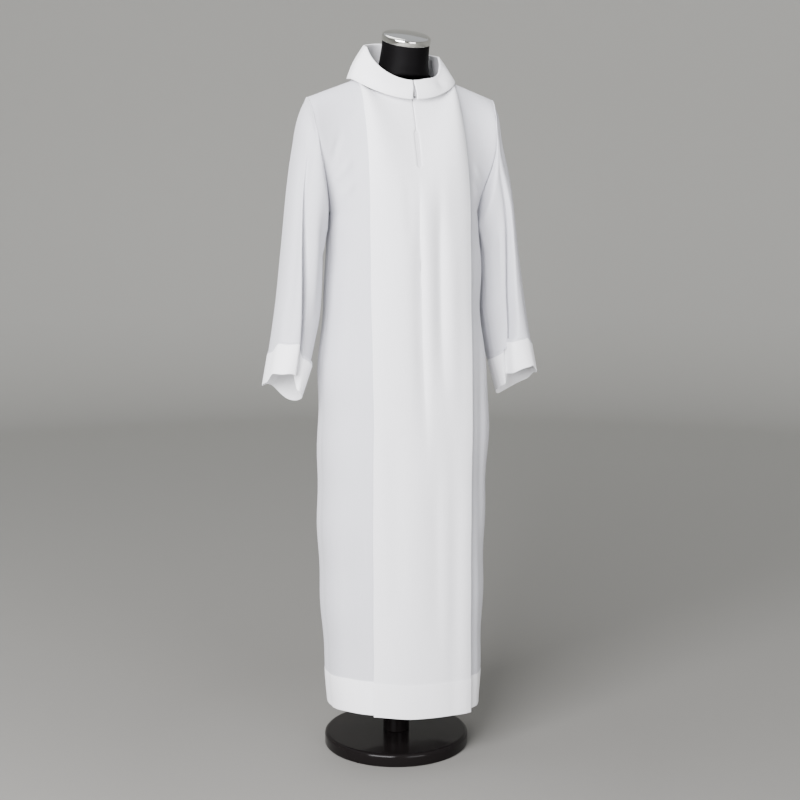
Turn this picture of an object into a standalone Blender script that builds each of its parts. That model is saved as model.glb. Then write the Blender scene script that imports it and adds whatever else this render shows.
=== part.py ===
"""Alb robe of white polyester, worn by a limbless dress form on a round stand.

Metres, +Z up. The robe's front faces -Y and its right sleeve is on -X. The origin is
the centre of the base's underside, so the whole thing stands on z = 0.
"""
from collections import namedtuple
from math import asin, cos, exp, pi, radians, sin

import bmesh
import bpy
from mathutils import Vector

# Stand
BASE_RADIUS = 0.171
BASE_HEIGHT = 0.030
BASE_ROUND = 0.009
BASE_CHAMFER = 0.003
POLE_RADIUS = 0.031
GAP = 0.0003

# Cloth
WALL = 0.0012
TURNED_HEM = 0.080
SIDE_SEAM = 0.0003
SHOULDER_SEAM = 0.00045
ARMHOLE_SEAM = 0.0014
WELD = 0.00002
PANEL_HALF = 0.118
PLEAT_UNDER = 0.032
PLEAT_LIFT_TOP = 0.0036
PLEAT_LIFT_HEM = 0.0078
UNDERLAY_LIFT_TOP = 0.0007
UNDERLAY_LIFT_LOW = 0.0015
ROUNDNESS = 2.3

# Heights of the robe, and the hem's lean to one side
UNDERARM = 1.262
HEM = 0.117
HEM_SLOPE = -0.060

# Shoulder seam, from the side of the neck to the top of the sleeve
NECK_SIDE = Vector((0.111, -0.036, 1.552))
SHOULDER = Vector((0.223, -0.034, 1.513))
ARMHOLE_FRONT = 0.062
ARMHOLE_BACK = 0.052

# Zip opening in the middle of the front panel
ZIP_END = 1.360
ZIP_LAP_TOP = 1.445
ZIP_SLIT = 0.0010
ZIP_LAP = 0.0045
ZIP_TAPE = 0.013
ZIP_TAPE_WALL = 0.0010

# One ring round the neck: its reach to the side, front and back, and its heights
NeckRing = namedtuple("NeckRing", "half_width front side back z_front z_side z_back")
NECK_SEAM = NeckRing(0.111, -0.093, -0.036, 0.058, 1.512, 1.552, 1.572)
COLLAR_ROLL = NeckRing(0.087, -0.100, -0.040, 0.040, 1.547, 1.620, 1.634)
COLLAR_EDGE = NeckRing(0.125, -0.112, -0.036, 0.076, 1.508, 1.5535, 1.568)
COLLAR_WALL = 0.0016
COLLAR_ROLL_RADIUS = 0.0030
COLLAR_SWELL = 0.004
COLLAR_FOOT_RISE = 0.0021
COLLAR_SIDE_RISE = 0.0050
COLLAR_STATIONS = 44
COLLAR_GAP_TOP = 0.0012
COLLAR_GAP_FOOT = 0.0034

# Level sections of the robe below the arms
Section = namedtuple("Section", "height half_width front side back")
BODY = [
    Section(1.262, 0.172, -0.151, -0.032, 0.104),
    Section(1.170, 0.173, -0.154, -0.032, 0.106),
    Section(1.060, 0.178, -0.157, -0.032, 0.107),
    Section(0.955, 0.192, -0.159, -0.033, 0.107),
    Section(0.880, 0.199, -0.161, -0.034, 0.107),
    Section(0.780, 0.202, -0.162, -0.034, 0.106),
    Section(0.640, 0.200, -0.163, -0.034, 0.104),
    Section(0.500, 0.198, -0.165, -0.035, 0.101),
    Section(0.370, 0.194, -0.167, -0.038, 0.097),
    Section(0.240, 0.188, -0.170, -0.042, 0.092),
    Section(0.117, 0.182, -0.172, -0.048, 0.086),
]

# Soft folds: place across, where they start and end, half-width and depth
Fold = namedtuple("Fold", "x drift top bottom spread depth")
FRONT_FOLDS = [
    Fold(-0.010, 0.022, 1.300, 0.700, 0.013, -0.0075),
    Fold(0.052, 0.000, 1.330, 0.860, 0.012, -0.0050),
    Fold(0.022, 0.010, 1.300, 0.800, 0.011, 0.0040),
    Fold(-0.165, 0.000, 0.520, 0.150, 0.014, -0.0050),
    Fold(0.160, 0.000, 1.150, 0.420, 0.014, -0.0045),
]
BACK_FOLDS = [
    Fold(-0.120, -0.014, 1.330, 0.080, 0.022, 0.0085),
    Fold(-0.066, -0.008, 1.200, 0.080, 0.020, -0.0075),
    Fold(-0.008, 0.010, 1.350, 0.080, 0.022, 0.0080),
    Fold(0.058, 0.010, 1.260, 0.080, 0.020, -0.0085),
    Fold(0.122, 0.012, 1.300, 0.080, 0.020, 0.0070),
]

# Sleeve rings: outer and inner line, half-depth, and the valley down the front
Ring = namedtuple("Ring", "outer_x outer_z inner_x inner_z depth y valley valley_at tilt")
SLEEVE = [
    Ring(0.2375, 1.482, 0.1735, 1.243, 0.0660, -0.034, 0.00, -80, 0.000),
    Ring(0.2520, 1.436, 0.1755, 1.220, 0.0680, -0.035, 0.06, -80, 0.000),
    Ring(0.2640, 1.370, 0.1775, 1.185, 0.0690, -0.036, 0.16, -80, 0.000),
    Ring(0.2740, 1.300, 0.1800, 1.145, 0.0700, -0.037, 0.32, -80, 0.002),
    Ring(0.2845, 1.205, 0.1835, 1.090, 0.0700, -0.037, 0.46, -83, 0.004),
    Ring(0.2950, 1.115, 0.1885, 1.035, 0.0695, -0.037, 0.54, -88, 0.008),
    Ring(0.3050, 1.035, 0.1975, 0.985, 0.0690, -0.036, 0.56, -95, 0.012),
    Ring(0.3145, 0.968, 0.2105, 0.930, 0.0685, -0.036, 0.55, -105, 0.016),
    Ring(0.3165, 0.956, 0.2140, 0.918, 0.0683, -0.036, 0.54, -107, 0.017),
    Ring(0.3290, 0.888, 0.2400, 0.848, 0.0670, -0.035, 0.50, -120, 0.021),
]
SLEEVE_COLUMNS = 28
VALLEY_SPREAD = 17

# Dress form: level rings of a limbless torso with a neck that leans forward
Torso = namedtuple("Torso", "height half_width centre half_depth lean")
TORSO = [
    Torso(1.6345, 0.0525, -0.0590, 0.0540, 18),
    Torso(1.6080, 0.0530, -0.0520, 0.0560, 14),
    Torso(1.5800, 0.0560, -0.0440, 0.0585, 9),
    Torso(1.5620, 0.0640, -0.0380, 0.0560, 4),
    Torso(1.5499, 0.1085, -0.0360, 0.0120, 0),
    Torso(1.5404, 0.1365, -0.0360, 0.0180, 0),
    Torso(1.5193, 0.1990, -0.0350, 0.0240, 0),
    Torso(1.5000, 0.2050, -0.0350, 0.0440, 0),
    Torso(1.4500, 0.1980, -0.0360, 0.0700, 0),
    Torso(1.3800, 0.1780, -0.0370, 0.0860, 0),
    Torso(1.2900, 0.1580, -0.0380, 0.0960, 0),
    Torso(1.2000, 0.1480, -0.0380, 0.0950, 0),
    Torso(1.0600, 0.1260, -0.0340, 0.0820, 0),
    Torso(0.9500, 0.1480, -0.0320, 0.0960, 0),
    Torso(0.8600, 0.1600, -0.0300, 0.1040, 0),
    Torso(0.8150, 0.1560, -0.0300, 0.1000, 0),
    Torso(0.8000, 0.1450, -0.0300, 0.0900, 0),
]
TORSO_COLUMNS = 32

# Chromed cap on the neck
CAP_RADIUS = 0.0545
CAP_HEIGHT = 0.019
CAP_ROUND = 0.007


def clear_scene():
    for item in list(bpy.data.objects):
        bpy.data.objects.remove(item, do_unlink=True)


def material(name, colour, roughness, metallic=0.0):
    finish = bpy.data.materials.new(name)
    finish.use_nodes = True
    shader = finish.node_tree.nodes["Principled BSDF"]
    shader.inputs["Base Color"].default_value = (*colour, 1.0)
    shader.inputs["Roughness"].default_value = roughness
    shader.inputs["Metallic"].default_value = metallic
    return finish


def add_object(name, mesh, finish, parts):
    item = bpy.data.objects.new(name, mesh)
    item.data.materials.append(finish)
    parts.objects.link(item)
    return item


def mix(start, end, share):
    return start + (end - start) * share


def smooth(share):
    share = min(max(share, 0.0), 1.0)
    return share * share * (3.0 - 2.0 * share)


def body_section(height):
    """The robe's level section at a height, read smoothly between the table's rows."""
    rows = BODY
    height = min(max(height, rows[-1].height), rows[0].height)
    at = 0
    while at < len(rows) - 2 and rows[at + 1].height > height:
        at += 1
    before, after = rows[at], rows[at + 1]
    share = smooth((before.height - height) / (before.height - after.height))
    return Section(*(mix(a, b, share) for a, b in zip(before, after)))


def fold_depth(folds, x, height):
    """How far the soft folds push the cloth out at a place."""
    total = 0.0
    for fold in folds:
        length = fold.top - fold.bottom
        down = (fold.top - height) / length
        if 0.0 < down < 1.0:
            centre = fold.x + fold.drift * down
            rise = smooth(down / 0.35)
            fade = 1.0 if fold.bottom <= HEM else smooth((1.0 - down) / 0.35)
            across = (x - centre) / fold.spread
            total += fold.depth * rise * fade * exp(-across * across)
    return total


def ring_place(ring, angle, lie=1.0):
    """A place on a neck ring: 0 is the front, +90 the side on +X, 180 the back.

    With lie above 1 the ring stays at its side height for longer, and dips later."""
    turn = radians(angle)
    forward = cos(turn)
    end_y = ring.front if forward > 0.0 else ring.back
    end_z = ring.z_front if forward > 0.0 else ring.z_back
    y = mix(ring.side, end_y, abs(forward))
    z = mix(ring.z_side, end_z, abs(forward) ** lie)
    return Vector((ring.half_width * sin(turn), y, z))


def level_place(height, angle, depth_end):
    """A place on a level section: angle 0 is the middle, 90 the side seam."""
    section = body_section(height)
    turn = radians(min(abs(angle), 90.0))
    power = 2.0 / ROUNDNESS
    x = section.half_width * sin(turn) ** power
    y = mix(section.side, getattr(section, depth_end), max(cos(turn), 0.0) ** power)
    return Vector((x if angle >= 0.0 else -x, y, height))


def panel_angle(height, x):
    section = body_section(height)
    share = min(abs(x) / section.half_width, 1.0)
    return 90.0 * asin(share ** (ROUNDNESS / 2.0)) / (pi / 2.0)


def half_place(q, v, back):
    """The robe's front or back at q across (0 middle, 1 armhole and side seam) and v
    down (0 top edge, 1 underarm, 2 hem), for the +X half.

    In front, q up to 0.5 is the pleated panel, and past it is the side front. On the
    back, q up to 0.5 lies under the collar."""
    neck_share = min(q / 0.5, 1.0)
    side_share = max((q - 0.5) / 0.5, 0.0)
    end = "back" if back else "front"
    down = max(v - 1.0, 0.0)
    height = mix(UNDERARM, HEM, down)
    edge_angle = panel_angle(height, PANEL_HALF)
    if q <= 0.5:
        angle = panel_angle(height, PANEL_HALF * neck_share)
    else:
        angle = mix(edge_angle, 90.0, side_share)
    low = level_place(height, angle, end)
    folds = BACK_FOLDS if back else FRONT_FOLDS
    if v >= 1.0:
        return low, folds, height
    turn = 90.0 * neck_share
    if q <= 0.5:
        top = ring_place(NECK_SEAM, 180.0 - turn if back else turn)
    else:
        top = NECK_SIDE.lerp(SHOULDER, side_share)
    round_share = smooth(neck_share * 1.25)
    drop = mix(v, 1.0 - cos(v * pi / 2.0), round_share)
    reach = mix(1.0 - (1.0 - v) ** 1.5, sin(v * pi / 2.0), round_share)
    swell = side_share ** 2 * sin(pi * v) ** 0.8
    y = mix(top.y, low.y, reach) + (ARMHOLE_BACK if back else -ARMHOLE_FRONT) * swell
    place = Vector((mix(top.x, low.x, drop), y, mix(top.z, low.z, drop)))
    return place, folds, place.z


def cloth_place(q, v, back=False):
    """The robe's surface for q from -1 to 1, with folds, seam gaps and the hem's lean."""
    place, folds, height = half_place(abs(q), v, back)
    side = 1.0 if back else -1.0
    if q < 0.0:
        place.x = -place.x
    edge_fade = 1.0 - smooth((abs(q) - 0.8) / 0.2)
    place.y += side * fold_depth(folds, place.x, height) * edge_fade
    at_side = smooth((abs(q) - 0.9) / 0.1)
    at_shoulder = smooth((abs(q) - 0.4) / 0.1) * (1.0 - smooth(v / 0.1))
    place.y += side * max(SIDE_SEAM * at_side, SHOULDER_SEAM * at_shoulder)
    place.z += HEM_SLOPE * place.x * max(v - 1.0, 0.0)
    return place


def lifted_place(q, v, lift, back=False):
    """A place on the robe's surface, moved out along its normal."""
    step = 0.004
    q_near = min(max(q, -1.0 + step), 1.0 - step)
    v_near = min(max(v, step), 2.0 - step)
    across = cloth_place(q_near + step, v_near, back) - cloth_place(q_near - step, v_near, back)
    down = cloth_place(q_near, v_near + step, back) - cloth_place(q_near, v_near - step, back)
    normal = across.cross(down) if back else down.cross(across)
    return cloth_place(q, v, back) + normal.normalized() * lift


def zip_row(z):
    """How far down the yoke a height lies, along the middle of the front."""
    return (NECK_SEAM.z_front - z) / (NECK_SEAM.z_front - UNDERARM)


def body_rows():
    """Rows down the robe: close together at the shoulder, and two at the turned hem."""
    yoke = [0.0, 0.10, 0.22, 0.28, 0.38, 0.50, zip_row(ZIP_END), 0.74, 0.87]
    heights = [1.262, 1.18, 1.10, 1.02, 0.95, 0.88, 0.78, 0.64, 0.50, 0.37, 0.27]
    hem_top = HEM + TURNED_HEM
    heights += [hem_top + 0.001, hem_top - 0.001, HEM]
    return yoke + [1.0 + (UNDERARM - height) / (UNDERARM - HEM) for height in heights]


def cloth_object(name, grid, finish, parts, wall, double_rows=(), open_cells=(), flip=False):
    """A cloth wall on a grid of outer points, thicker where its edge is turned up."""
    built = bmesh.new()
    rows = [[built.verts.new(point) for point in row] for row in grid]
    for r in range(len(rows) - 1):
        for c in range(len(rows[0]) - 1):
            if (r, c) in open_cells:
                continue
            corners = (rows[r][c], rows[r][c + 1], rows[r + 1][c + 1], rows[r + 1][c])
            built.faces.new(tuple(reversed(corners)) if flip else corners)
    bmesh.ops.remove_doubles(built, verts=built.verts, dist=WELD)
    mesh = bpy.data.meshes.new(name)
    built.to_mesh(mesh)
    built.free()
    mesh.shade_smooth()
    item = add_object(name, mesh, finish, parts)
    group = item.vertex_groups.new(name="wall")
    turned = {tuple(round(value, 6) for value in point)
              for r in double_rows for point in grid[r]}
    for vertex in mesh.vertices:
        double = tuple(round(value, 6) for value in vertex.co) in turned
        group.add([vertex.index], 1.0 if double else 0.5, "REPLACE")
    solid = item.modifiers.new("Wall", "SOLIDIFY")
    solid.thickness = wall * 2.0
    solid.offset = -1.0
    solid.use_even_offset = False
    solid.vertex_group = "wall"
    return item


def hem_rows(rows):
    return range(len(rows) - 2, len(rows))


def side_front(name, side, finish, parts):
    """One side of the front, from under the pleat round to the side seam."""
    rows = body_rows()
    inner = 0.5 * (1.0 - PLEAT_UNDER / PANEL_HALF)
    columns = [inner, mix(inner, 0.5, 0.5), 0.5, 0.58, 0.66, 0.74, 0.82, 0.90, 1.0]
    grid = [[lifted_place(side * q, v, 0.0) for q in columns] for v in rows]
    cloth_object(name, grid, finish, parts, WALL, hem_rows(rows), flip=side > 0)


def pleat_lift(v):
    return mix(PLEAT_LIFT_TOP, PLEAT_LIFT_HEM, smooth(v))


def underlay_lift(v):
    return mix(UNDERLAY_LIFT_TOP, UNDERLAY_LIFT_LOW, smooth(v / 0.5))


def zip_half_gap(z):
    if z > ZIP_LAP_TOP:
        return ZIP_SLIT
    return mix(ZIP_SLIT, ZIP_LAP, smooth((ZIP_LAP_TOP - z) / 0.020))


def front_panel(finish, parts):
    """The middle of the front: a box pleat whose edges fold under, with the zip's slit."""
    rows = body_rows()
    slit_end = rows.index(zip_row(ZIP_END))
    flat = [0.1, 0.2, 0.32, 0.45, 0.6, 0.75, 0.9, 1.0]
    grid = []
    for v in rows:
        lift = pleat_lift(v)
        under = underlay_lift(v)
        radius = (lift - under) / 2.0
        half = []
        centre_z = cloth_place(0.0, v).z
        gap = zip_half_gap(max(centre_z, ZIP_END)) / PANEL_HALF
        half.append((gap * 0.5, lift, 0.0))
        half += [(0.5 * share, lift, 0.0) for share in flat]
        for turn in (45.0, 90.0, 135.0):
            swing = radians(turn)
            half.append((0.5, under + radius + radius * cos(swing), radius * sin(swing)))
        for share in (1.0, 0.5, 0.0):
            inner = mix(1.0 - PLEAT_UNDER / PANEL_HALF, 1.0, share)
            half.append((0.5 * inner, under, 0.0))
        row = []
        for side, places in ((-1.0, reversed(half)), (1.0, half)):
            for q, out, beyond in places:
                point = lifted_place(side * q, v, out)
                point.x += side * beyond
                row.append(point)
        grid.append(row)
    middle = len(grid[0]) // 2 - 1
    slit = {(r, middle) for r in range(slit_end)}
    cloth_object("front_panel", grid, finish, parts, WALL, hem_rows(rows), slit, flip=True)


def zip_tapes(finish, parts):
    """The zip's two tapes, behind the slit, edge to edge."""
    yoke = [v for v in body_rows() if v <= zip_row(ZIP_END)]
    rows = [0.03] + yoke[1:] + [zip_row(ZIP_END - 0.012)]
    for name, side in (("zip_tape_right", -1.0), ("zip_tape_left", 1.0)):
        columns = [GAP / PANEL_HALF * 0.5, 0.006 / PANEL_HALF * 0.5, ZIP_TAPE / PANEL_HALF * 0.5]
        grid = []
        for v in rows:
            lift = pleat_lift(v) - WALL - 1.5 * GAP
            grid.append([lifted_place(side * q, v, lift) for q in columns])
        cloth_object(name, grid, finish, parts, ZIP_TAPE_WALL, flip=side > 0)


def back_panel(finish, parts):
    rows = body_rows()
    half = [0.1, 0.2, 0.3, 0.4, 0.5, 0.6, 0.7, 0.8, 0.9, 1.0]
    columns = [-q for q in reversed(half)] + [0.0] + half
    grid = [[lifted_place(q, v, 0.0, back=True) for q in columns] for v in rows]
    cloth_object("back", grid, finish, parts, WALL, hem_rows(rows))


def armhole_place(angle, side):
    """A place on the armhole: 0 is its top, -90 its front, 180 the underarm."""
    turn = (angle + 180.0) % 360.0 - 180.0
    place = cloth_place(side, abs(turn) / 180.0, back=turn > 0.0)
    place.x += side * ARMHOLE_SEAM
    return place


def sleeve_place(ring, angle, side):
    turn = radians(angle)
    off = (angle - ring.valley_at + 180.0) % 360.0 - 180.0
    valley = ring.valley * exp(-(off / VALLEY_SPREAD) ** 2)
    outward = (1.0 + cos(turn)) / 2.0
    x = mix(ring.inner_x, ring.outer_x, outward)
    z = mix(ring.inner_z, ring.outer_z, outward) - ring.tilt * sin(turn)
    depth = ring.depth * (1.0 - valley)
    return Vector((side * x, ring.y + depth * sin(turn), z))


def sleeve(name, side, finish, parts):
    """A sleeve from its armhole down to the open cuff, with a valley down its front."""
    angles = [360.0 * step / SLEEVE_COLUMNS for step in range(SLEEVE_COLUMNS + 1)]
    grid = [[armhole_place(angle, side) for angle in angles]]
    grid += [[sleeve_place(ring, angle, side) for angle in angles] for ring in SLEEVE]
    turned = range(len(grid) - 2, len(grid))
    cloth_object(name, grid, finish, parts, WALL, turned, flip=side > 0)


def collar(finish, parts):
    """The roll collar: a stand up from the neck seam, over the roll and down outside."""
    roll = COLLAR_ROLL_RADIUS
    grid = []
    for step in range(COLLAR_STATIONS + 1):
        angle = mix(0.0, 360.0, step / COLLAR_STATIONS)
        foot = ring_place(NECK_SEAM, angle)
        top = ring_place(COLLAR_ROLL, angle)
        edge = ring_place(COLLAR_EDGE, angle, lie=1.7)
        out = Vector((sin(radians(angle)), -cos(radians(angle)), 0.0))
        rise = (top - foot).normalized()
        beside = smooth((cos(radians(angle)) + 0.4) / 0.4) * sin(radians(angle)) ** 2
        foot += rise * (COLLAR_FOOT_RISE + beside * COLLAR_SIDE_RISE) + out * COLLAR_WALL
        path = [foot.lerp(top - out * roll, share) for share in (0.0, 0.35, 0.7, 0.94)]
        for turn in (150.0, 90.0, 30.0):
            path.append(top + out * roll * cos(radians(turn)) + rise * roll * sin(radians(turn)))
        fall = top + out * roll
        for share in (0.15, 0.45, 0.75, 1.0):
            swell = out * COLLAR_SWELL * sin(pi * share)
            path.append(fall.lerp(edge, share) + swell)
        at_end = {0: 1.0, COLLAR_STATIONS: -1.0}.get(step)
        if at_end:
            for index, point in enumerate(path):
                low = (top.z - point.z) / (top.z - foot.z)
                point.x += at_end * mix(COLLAR_GAP_TOP, COLLAR_GAP_FOOT, smooth(low))
        grid.append(path)
    cloth_object("collar", grid, finish, parts, COLLAR_WALL)


def loft(name, rings, finish, parts):
    """A closed body through rings of equal count, with flat ends."""
    built = bmesh.new()
    loops = [[built.verts.new(point) for point in ring] for ring in rings]
    count = len(loops[0])
    for upper, lower in zip(loops, loops[1:]):
        for c in range(count):
            n = (c + 1) % count
            built.faces.new((upper[c], lower[c], lower[n], upper[n]))
    built.faces.new(loops[0])
    built.faces.new(list(reversed(loops[-1])))
    bmesh.ops.recalc_face_normals(built, faces=built.faces)
    mesh = bpy.data.meshes.new(name)
    built.to_mesh(mesh)
    built.free()
    mesh.shade_smooth()
    mesh.set_sharp_from_angle(angle=radians(50))
    return add_object(name, mesh, finish, parts)


def torso(finish, parts):
    rings = []
    for row in TORSO:
        ring = []
        for step in range(TORSO_COLUMNS):
            turn = 2.0 * pi * step / TORSO_COLUMNS
            forward = row.half_depth * cos(turn)
            y = row.centre - forward * cos(radians(row.lean))
            z = row.height - forward * sin(radians(row.lean))
            ring.append(Vector((row.half_width * sin(turn), y, z)))
        rings.append(ring)
    loft("form_torso", rings, finish, parts)


def turned(name, profile, steps, finish, parts):
    """A turned shape from a profile of (radius, height) pairs, top to bottom."""
    built = bmesh.new()
    verts = [built.verts.new((radius, 0.0, height)) for radius, height in profile]
    for upper, lower in zip(verts, verts[1:]):
        built.edges.new((upper, lower))
    mesh = bpy.data.meshes.new(name)
    built.to_mesh(mesh)
    built.free()
    item = add_object(name, mesh, finish, parts)
    screw = item.modifiers.new("Turn", "SCREW")
    screw.steps = steps
    screw.render_steps = steps
    screw.use_merge_vertices = True
    screw.merge_threshold = 0.00001
    screw.use_smooth_shade = True
    return item


def rounded_edge(radius, height, corner, turns):
    """Points round a corner from the flat top to the side, top to bottom."""
    places = []
    for step in range(turns + 1):
        turn = radians(90.0 * step / turns)
        places.append((radius - corner + corner * sin(turn), height - corner + corner * cos(turn)))
    return places


def stand(finish, parts):
    top = rounded_edge(BASE_RADIUS, BASE_HEIGHT, BASE_ROUND, 4)
    foot = [(BASE_RADIUS, BASE_CHAMFER), (BASE_RADIUS - BASE_CHAMFER, 0.0)]
    profile = [(0.0, BASE_HEIGHT)] + top + foot
    turned("base_disk", profile + [(0.0, 0.0)], 56, finish, parts)
    low = BASE_HEIGHT + GAP
    high = TORSO[-1].height - GAP
    profile = [(0.0, high), (POLE_RADIUS, high), (POLE_RADIUS, low), (0.0, low)]
    turned("pole", profile, 32, finish, parts)


def neck_cap(finish, parts):
    top = rounded_edge(CAP_RADIUS, CAP_HEIGHT, CAP_ROUND, 4)
    profile = [(0.0, CAP_HEIGHT)] + top + [(CAP_RADIUS, 0.0), (0.0, 0.0)]
    item = turned("neck_cap", profile, 36, finish, parts)
    neck = TORSO[0]
    lean = radians(neck.lean)
    up = Vector((0.0, -sin(lean), cos(lean)))
    item.location = Vector((0.0, neck.centre, neck.height)) + up * GAP
    item.rotation_euler = (lean, 0.0, 0.0)


def main():
    clear_scene()
    parts = bpy.data.collections.new("alb_robe")
    bpy.context.scene.collection.children.link(parts)
    cloth = material("White polyester", (0.86, 0.87, 0.89), 0.75)
    tape = material("Zip tape", (0.80, 0.80, 0.82), 0.80)
    black = material("Black gloss", (0.012, 0.010, 0.010), 0.18)
    cover = material("Black form cover", (0.016, 0.015, 0.016), 0.55)
    chrome = material("Chrome", (0.75, 0.75, 0.73), 0.08, 1.0)
    stand(black, parts)
    torso(cover, parts)
    neck_cap(chrome, parts)
    front_panel(cloth, parts)
    side_front("front_side_right", -1.0, cloth, parts)
    side_front("front_side_left", 1.0, cloth, parts)
    back_panel(cloth, parts)
    sleeve("sleeve_right", -1.0, cloth, parts)
    sleeve("sleeve_left", 1.0, cloth, parts)
    collar(cloth, parts)
    zip_tapes(tape, parts)


main()
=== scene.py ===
# %% [markdown]
# # A white alb on a dress form
#
# The real thing is a long church robe of white polyester. Its front has a wide box pleat with a
# hidden zip, the collar rolls over at the neck, and the sleeves are wide with deep hems. It is
# worn by a limbless black dress form on a pole and a round glossy base.
#
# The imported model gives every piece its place. This script dresses it: fine cloth walls with
# creases, sewing, zip teeth, finishes, a plain studio and the camera.

from collections import namedtuple
from math import asin, atan, cos, degrees, exp, pi, radians, sin

import bmesh
import bpy
from mathutils import Matrix, Vector


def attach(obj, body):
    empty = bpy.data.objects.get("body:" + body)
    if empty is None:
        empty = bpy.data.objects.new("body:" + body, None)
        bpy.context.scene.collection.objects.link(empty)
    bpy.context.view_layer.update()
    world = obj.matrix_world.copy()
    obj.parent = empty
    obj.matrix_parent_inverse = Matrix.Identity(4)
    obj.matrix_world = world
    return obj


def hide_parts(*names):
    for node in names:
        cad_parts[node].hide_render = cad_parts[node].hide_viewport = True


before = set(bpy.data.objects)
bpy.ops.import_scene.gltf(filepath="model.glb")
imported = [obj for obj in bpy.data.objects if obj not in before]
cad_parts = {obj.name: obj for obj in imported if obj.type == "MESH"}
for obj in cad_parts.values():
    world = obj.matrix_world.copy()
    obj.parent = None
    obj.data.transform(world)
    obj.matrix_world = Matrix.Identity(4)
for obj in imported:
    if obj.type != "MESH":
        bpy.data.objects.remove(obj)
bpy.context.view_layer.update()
print("nodes in the frame:", len(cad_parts))

# %% [markdown]
# ## Small helpers
#
# Cloth in this script is always a grid of points read from a surface, row by row from its top
# edge to its hem. A helper turns such a grid into a mesh with its own UV map in metres, so that
# the weave follows the cloth, and a Solidify modifier gives the wall its thickness. Points that
# fall together, as where a tube closes, are welded.

# %% Mixing and reading tables
def mix(start, end, share):
    return start + (end - start) * share


def smooth(share):
    share = min(max(share, 0.0), 1.0)
    return share * share * (3.0 - 2.0 * share)


def read_row(rows, place):
    """A table's row at a fractional place, on a smooth curve through the rows."""
    last = len(rows) - 1
    at = min(int(max(place, 0.0)), last - 1)
    share = min(max(place - at, 0.0), 1.0)
    near = [rows[min(max(at + step, 0), last)] for step in (-1, 0, 1, 2)]
    values = []
    for a, b, c, d in zip(*near):
        bend = 2.0 * a - 5.0 * b + 4.0 * c - d
        twist = 3.0 * (b - c) + d - a
        values.append(b + 0.5 * share * ((c - a) + share * (bend + share * twist)))
    return type(rows[0])(*values)


print("a smooth step half way along:", smooth(0.5))


# %% Meshes and objects
def mesh_from(built, name):
    mesh = bpy.data.meshes.new(name)
    built.to_mesh(mesh)
    built.free()
    return mesh


def into_scene(item):
    bpy.context.scene.collection.objects.link(item)
    return item


def finished(name, mesh, material):
    """An object at the origin, with one finish."""
    piece = into_scene(bpy.data.objects.new(name, mesh))
    mesh.materials.append(material)
    return piece


def take_modifiers(piece):
    """Puts the mesh that the modifiers make in the piece, and removes them."""
    bpy.context.view_layer.update()
    graph = bpy.context.evaluated_depsgraph_get()
    result = bpy.data.meshes.new_from_object(piece.evaluated_get(graph))
    piece.modifiers.clear()
    piece.data = result
    return result


# %% Grids to cloth
WELD = 0.00002


def grid_mesh(name, grid, open_cells=(), flip=False, ply=None):
    """A mesh on a grid of points, with a UV map in metres and a layer count per point."""
    built = bmesh.new()
    uv = built.loops.layers.uv.new("cloth")
    rows = [[built.verts.new(point) for point in row] for row in grid]
    across = []
    for row in grid:
        reach = [0.0]
        for a, b in zip(row, row[1:]):
            reach.append(reach[-1] + (b - a).length)
        middle = reach[len(reach) // 2]
        across.append([value - middle for value in reach])
    along = [[0.0] * len(grid[0])]
    for upper, lower in zip(grid, grid[1:]):
        step = sum((b - a).length for a, b in zip(upper, lower)) / len(upper)
        along.append([along[-1][0] + step] * len(upper))
    place = {}
    for r, row in enumerate(rows):
        for c, vert in enumerate(row):
            place[vert] = (across[r][c], along[r][c])
    for r in range(len(rows) - 1):
        for c in range(len(rows[0]) - 1):
            if (r, c) in open_cells:
                continue
            corners = (rows[r][c], rows[r][c + 1], rows[r + 1][c + 1], rows[r + 1][c])
            face = built.faces.new(tuple(reversed(corners)) if flip else corners)
            for loop in face.loops:
                loop[uv].uv = place[loop.vert]
    mesh = mesh_from(built, name)
    layer = mesh.attributes.new("ply", "FLOAT", "POINT")
    if ply is None:
        counts = [0.0] * len(mesh.vertices)
    else:
        counts = [value for row in ply for value in row]
    layer.data.foreach_set("value", counts)
    weld = bmesh.new()
    weld.from_mesh(mesh)
    bmesh.ops.remove_doubles(weld, verts=weld.verts, dist=WELD)
    weld.to_mesh(mesh)
    weld.free()
    mesh.shade_smooth()
    return mesh


def cloth_piece(name, mesh, material, wall):
    """A finished wall of cloth, closed all round its edges."""
    piece = finished(name, mesh, material)
    solid = piece.modifiers.new("Wall", "SOLIDIFY")
    solid.thickness = wall
    solid.offset = -1.0
    return piece


def dress(piece, node, slot):
    """Puts a piece on the one body, in place of its plain solid."""
    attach(piece, "root")
    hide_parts(node)


# %% [markdown]
# ## Finishes
#
# The robe's polyester is a plain weave, matt, with a faint sheen where it turns away, and very
# slightly uneven from thread to thread. One layer lets a little of the dark inside through, so
# the turned hems and cuffs look lighter. The number of layers is an attribute on the mesh, and
# the weave reads the cloth's own UV map.

# %% Node helpers
def new_material(name):
    material = bpy.data.materials.new(name)
    material.use_nodes = True
    return material, material.node_tree, material.node_tree.nodes["Principled BSDF"]


def add_node(tree, kind, **settings):
    node = tree.nodes.new(kind)
    for key, value in settings.items():
        setattr(node, key, value)
    return node


def set_inputs(node, **values):
    for key, value in values.items():
        node.inputs[key.replace("_", " ")].default_value = value
    return node


# %% Woven polyester
# A wave texture has 20 bands in 2 pi units, so this scale makes about 1216 threads a metre
WEAVE_SCALE = (381.97097, 381.97097, 1.0)
SLUB_SCALE = (420.0, 9.0, 1.0)
SLUB_DARK = 0.972
SLUB_LIGHT = 1.012
CLOTH_SPECULAR = 0.28
SHEEN_ROUGHNESS = 0.55
BUMP_HEIGHT = 0.0002


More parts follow.
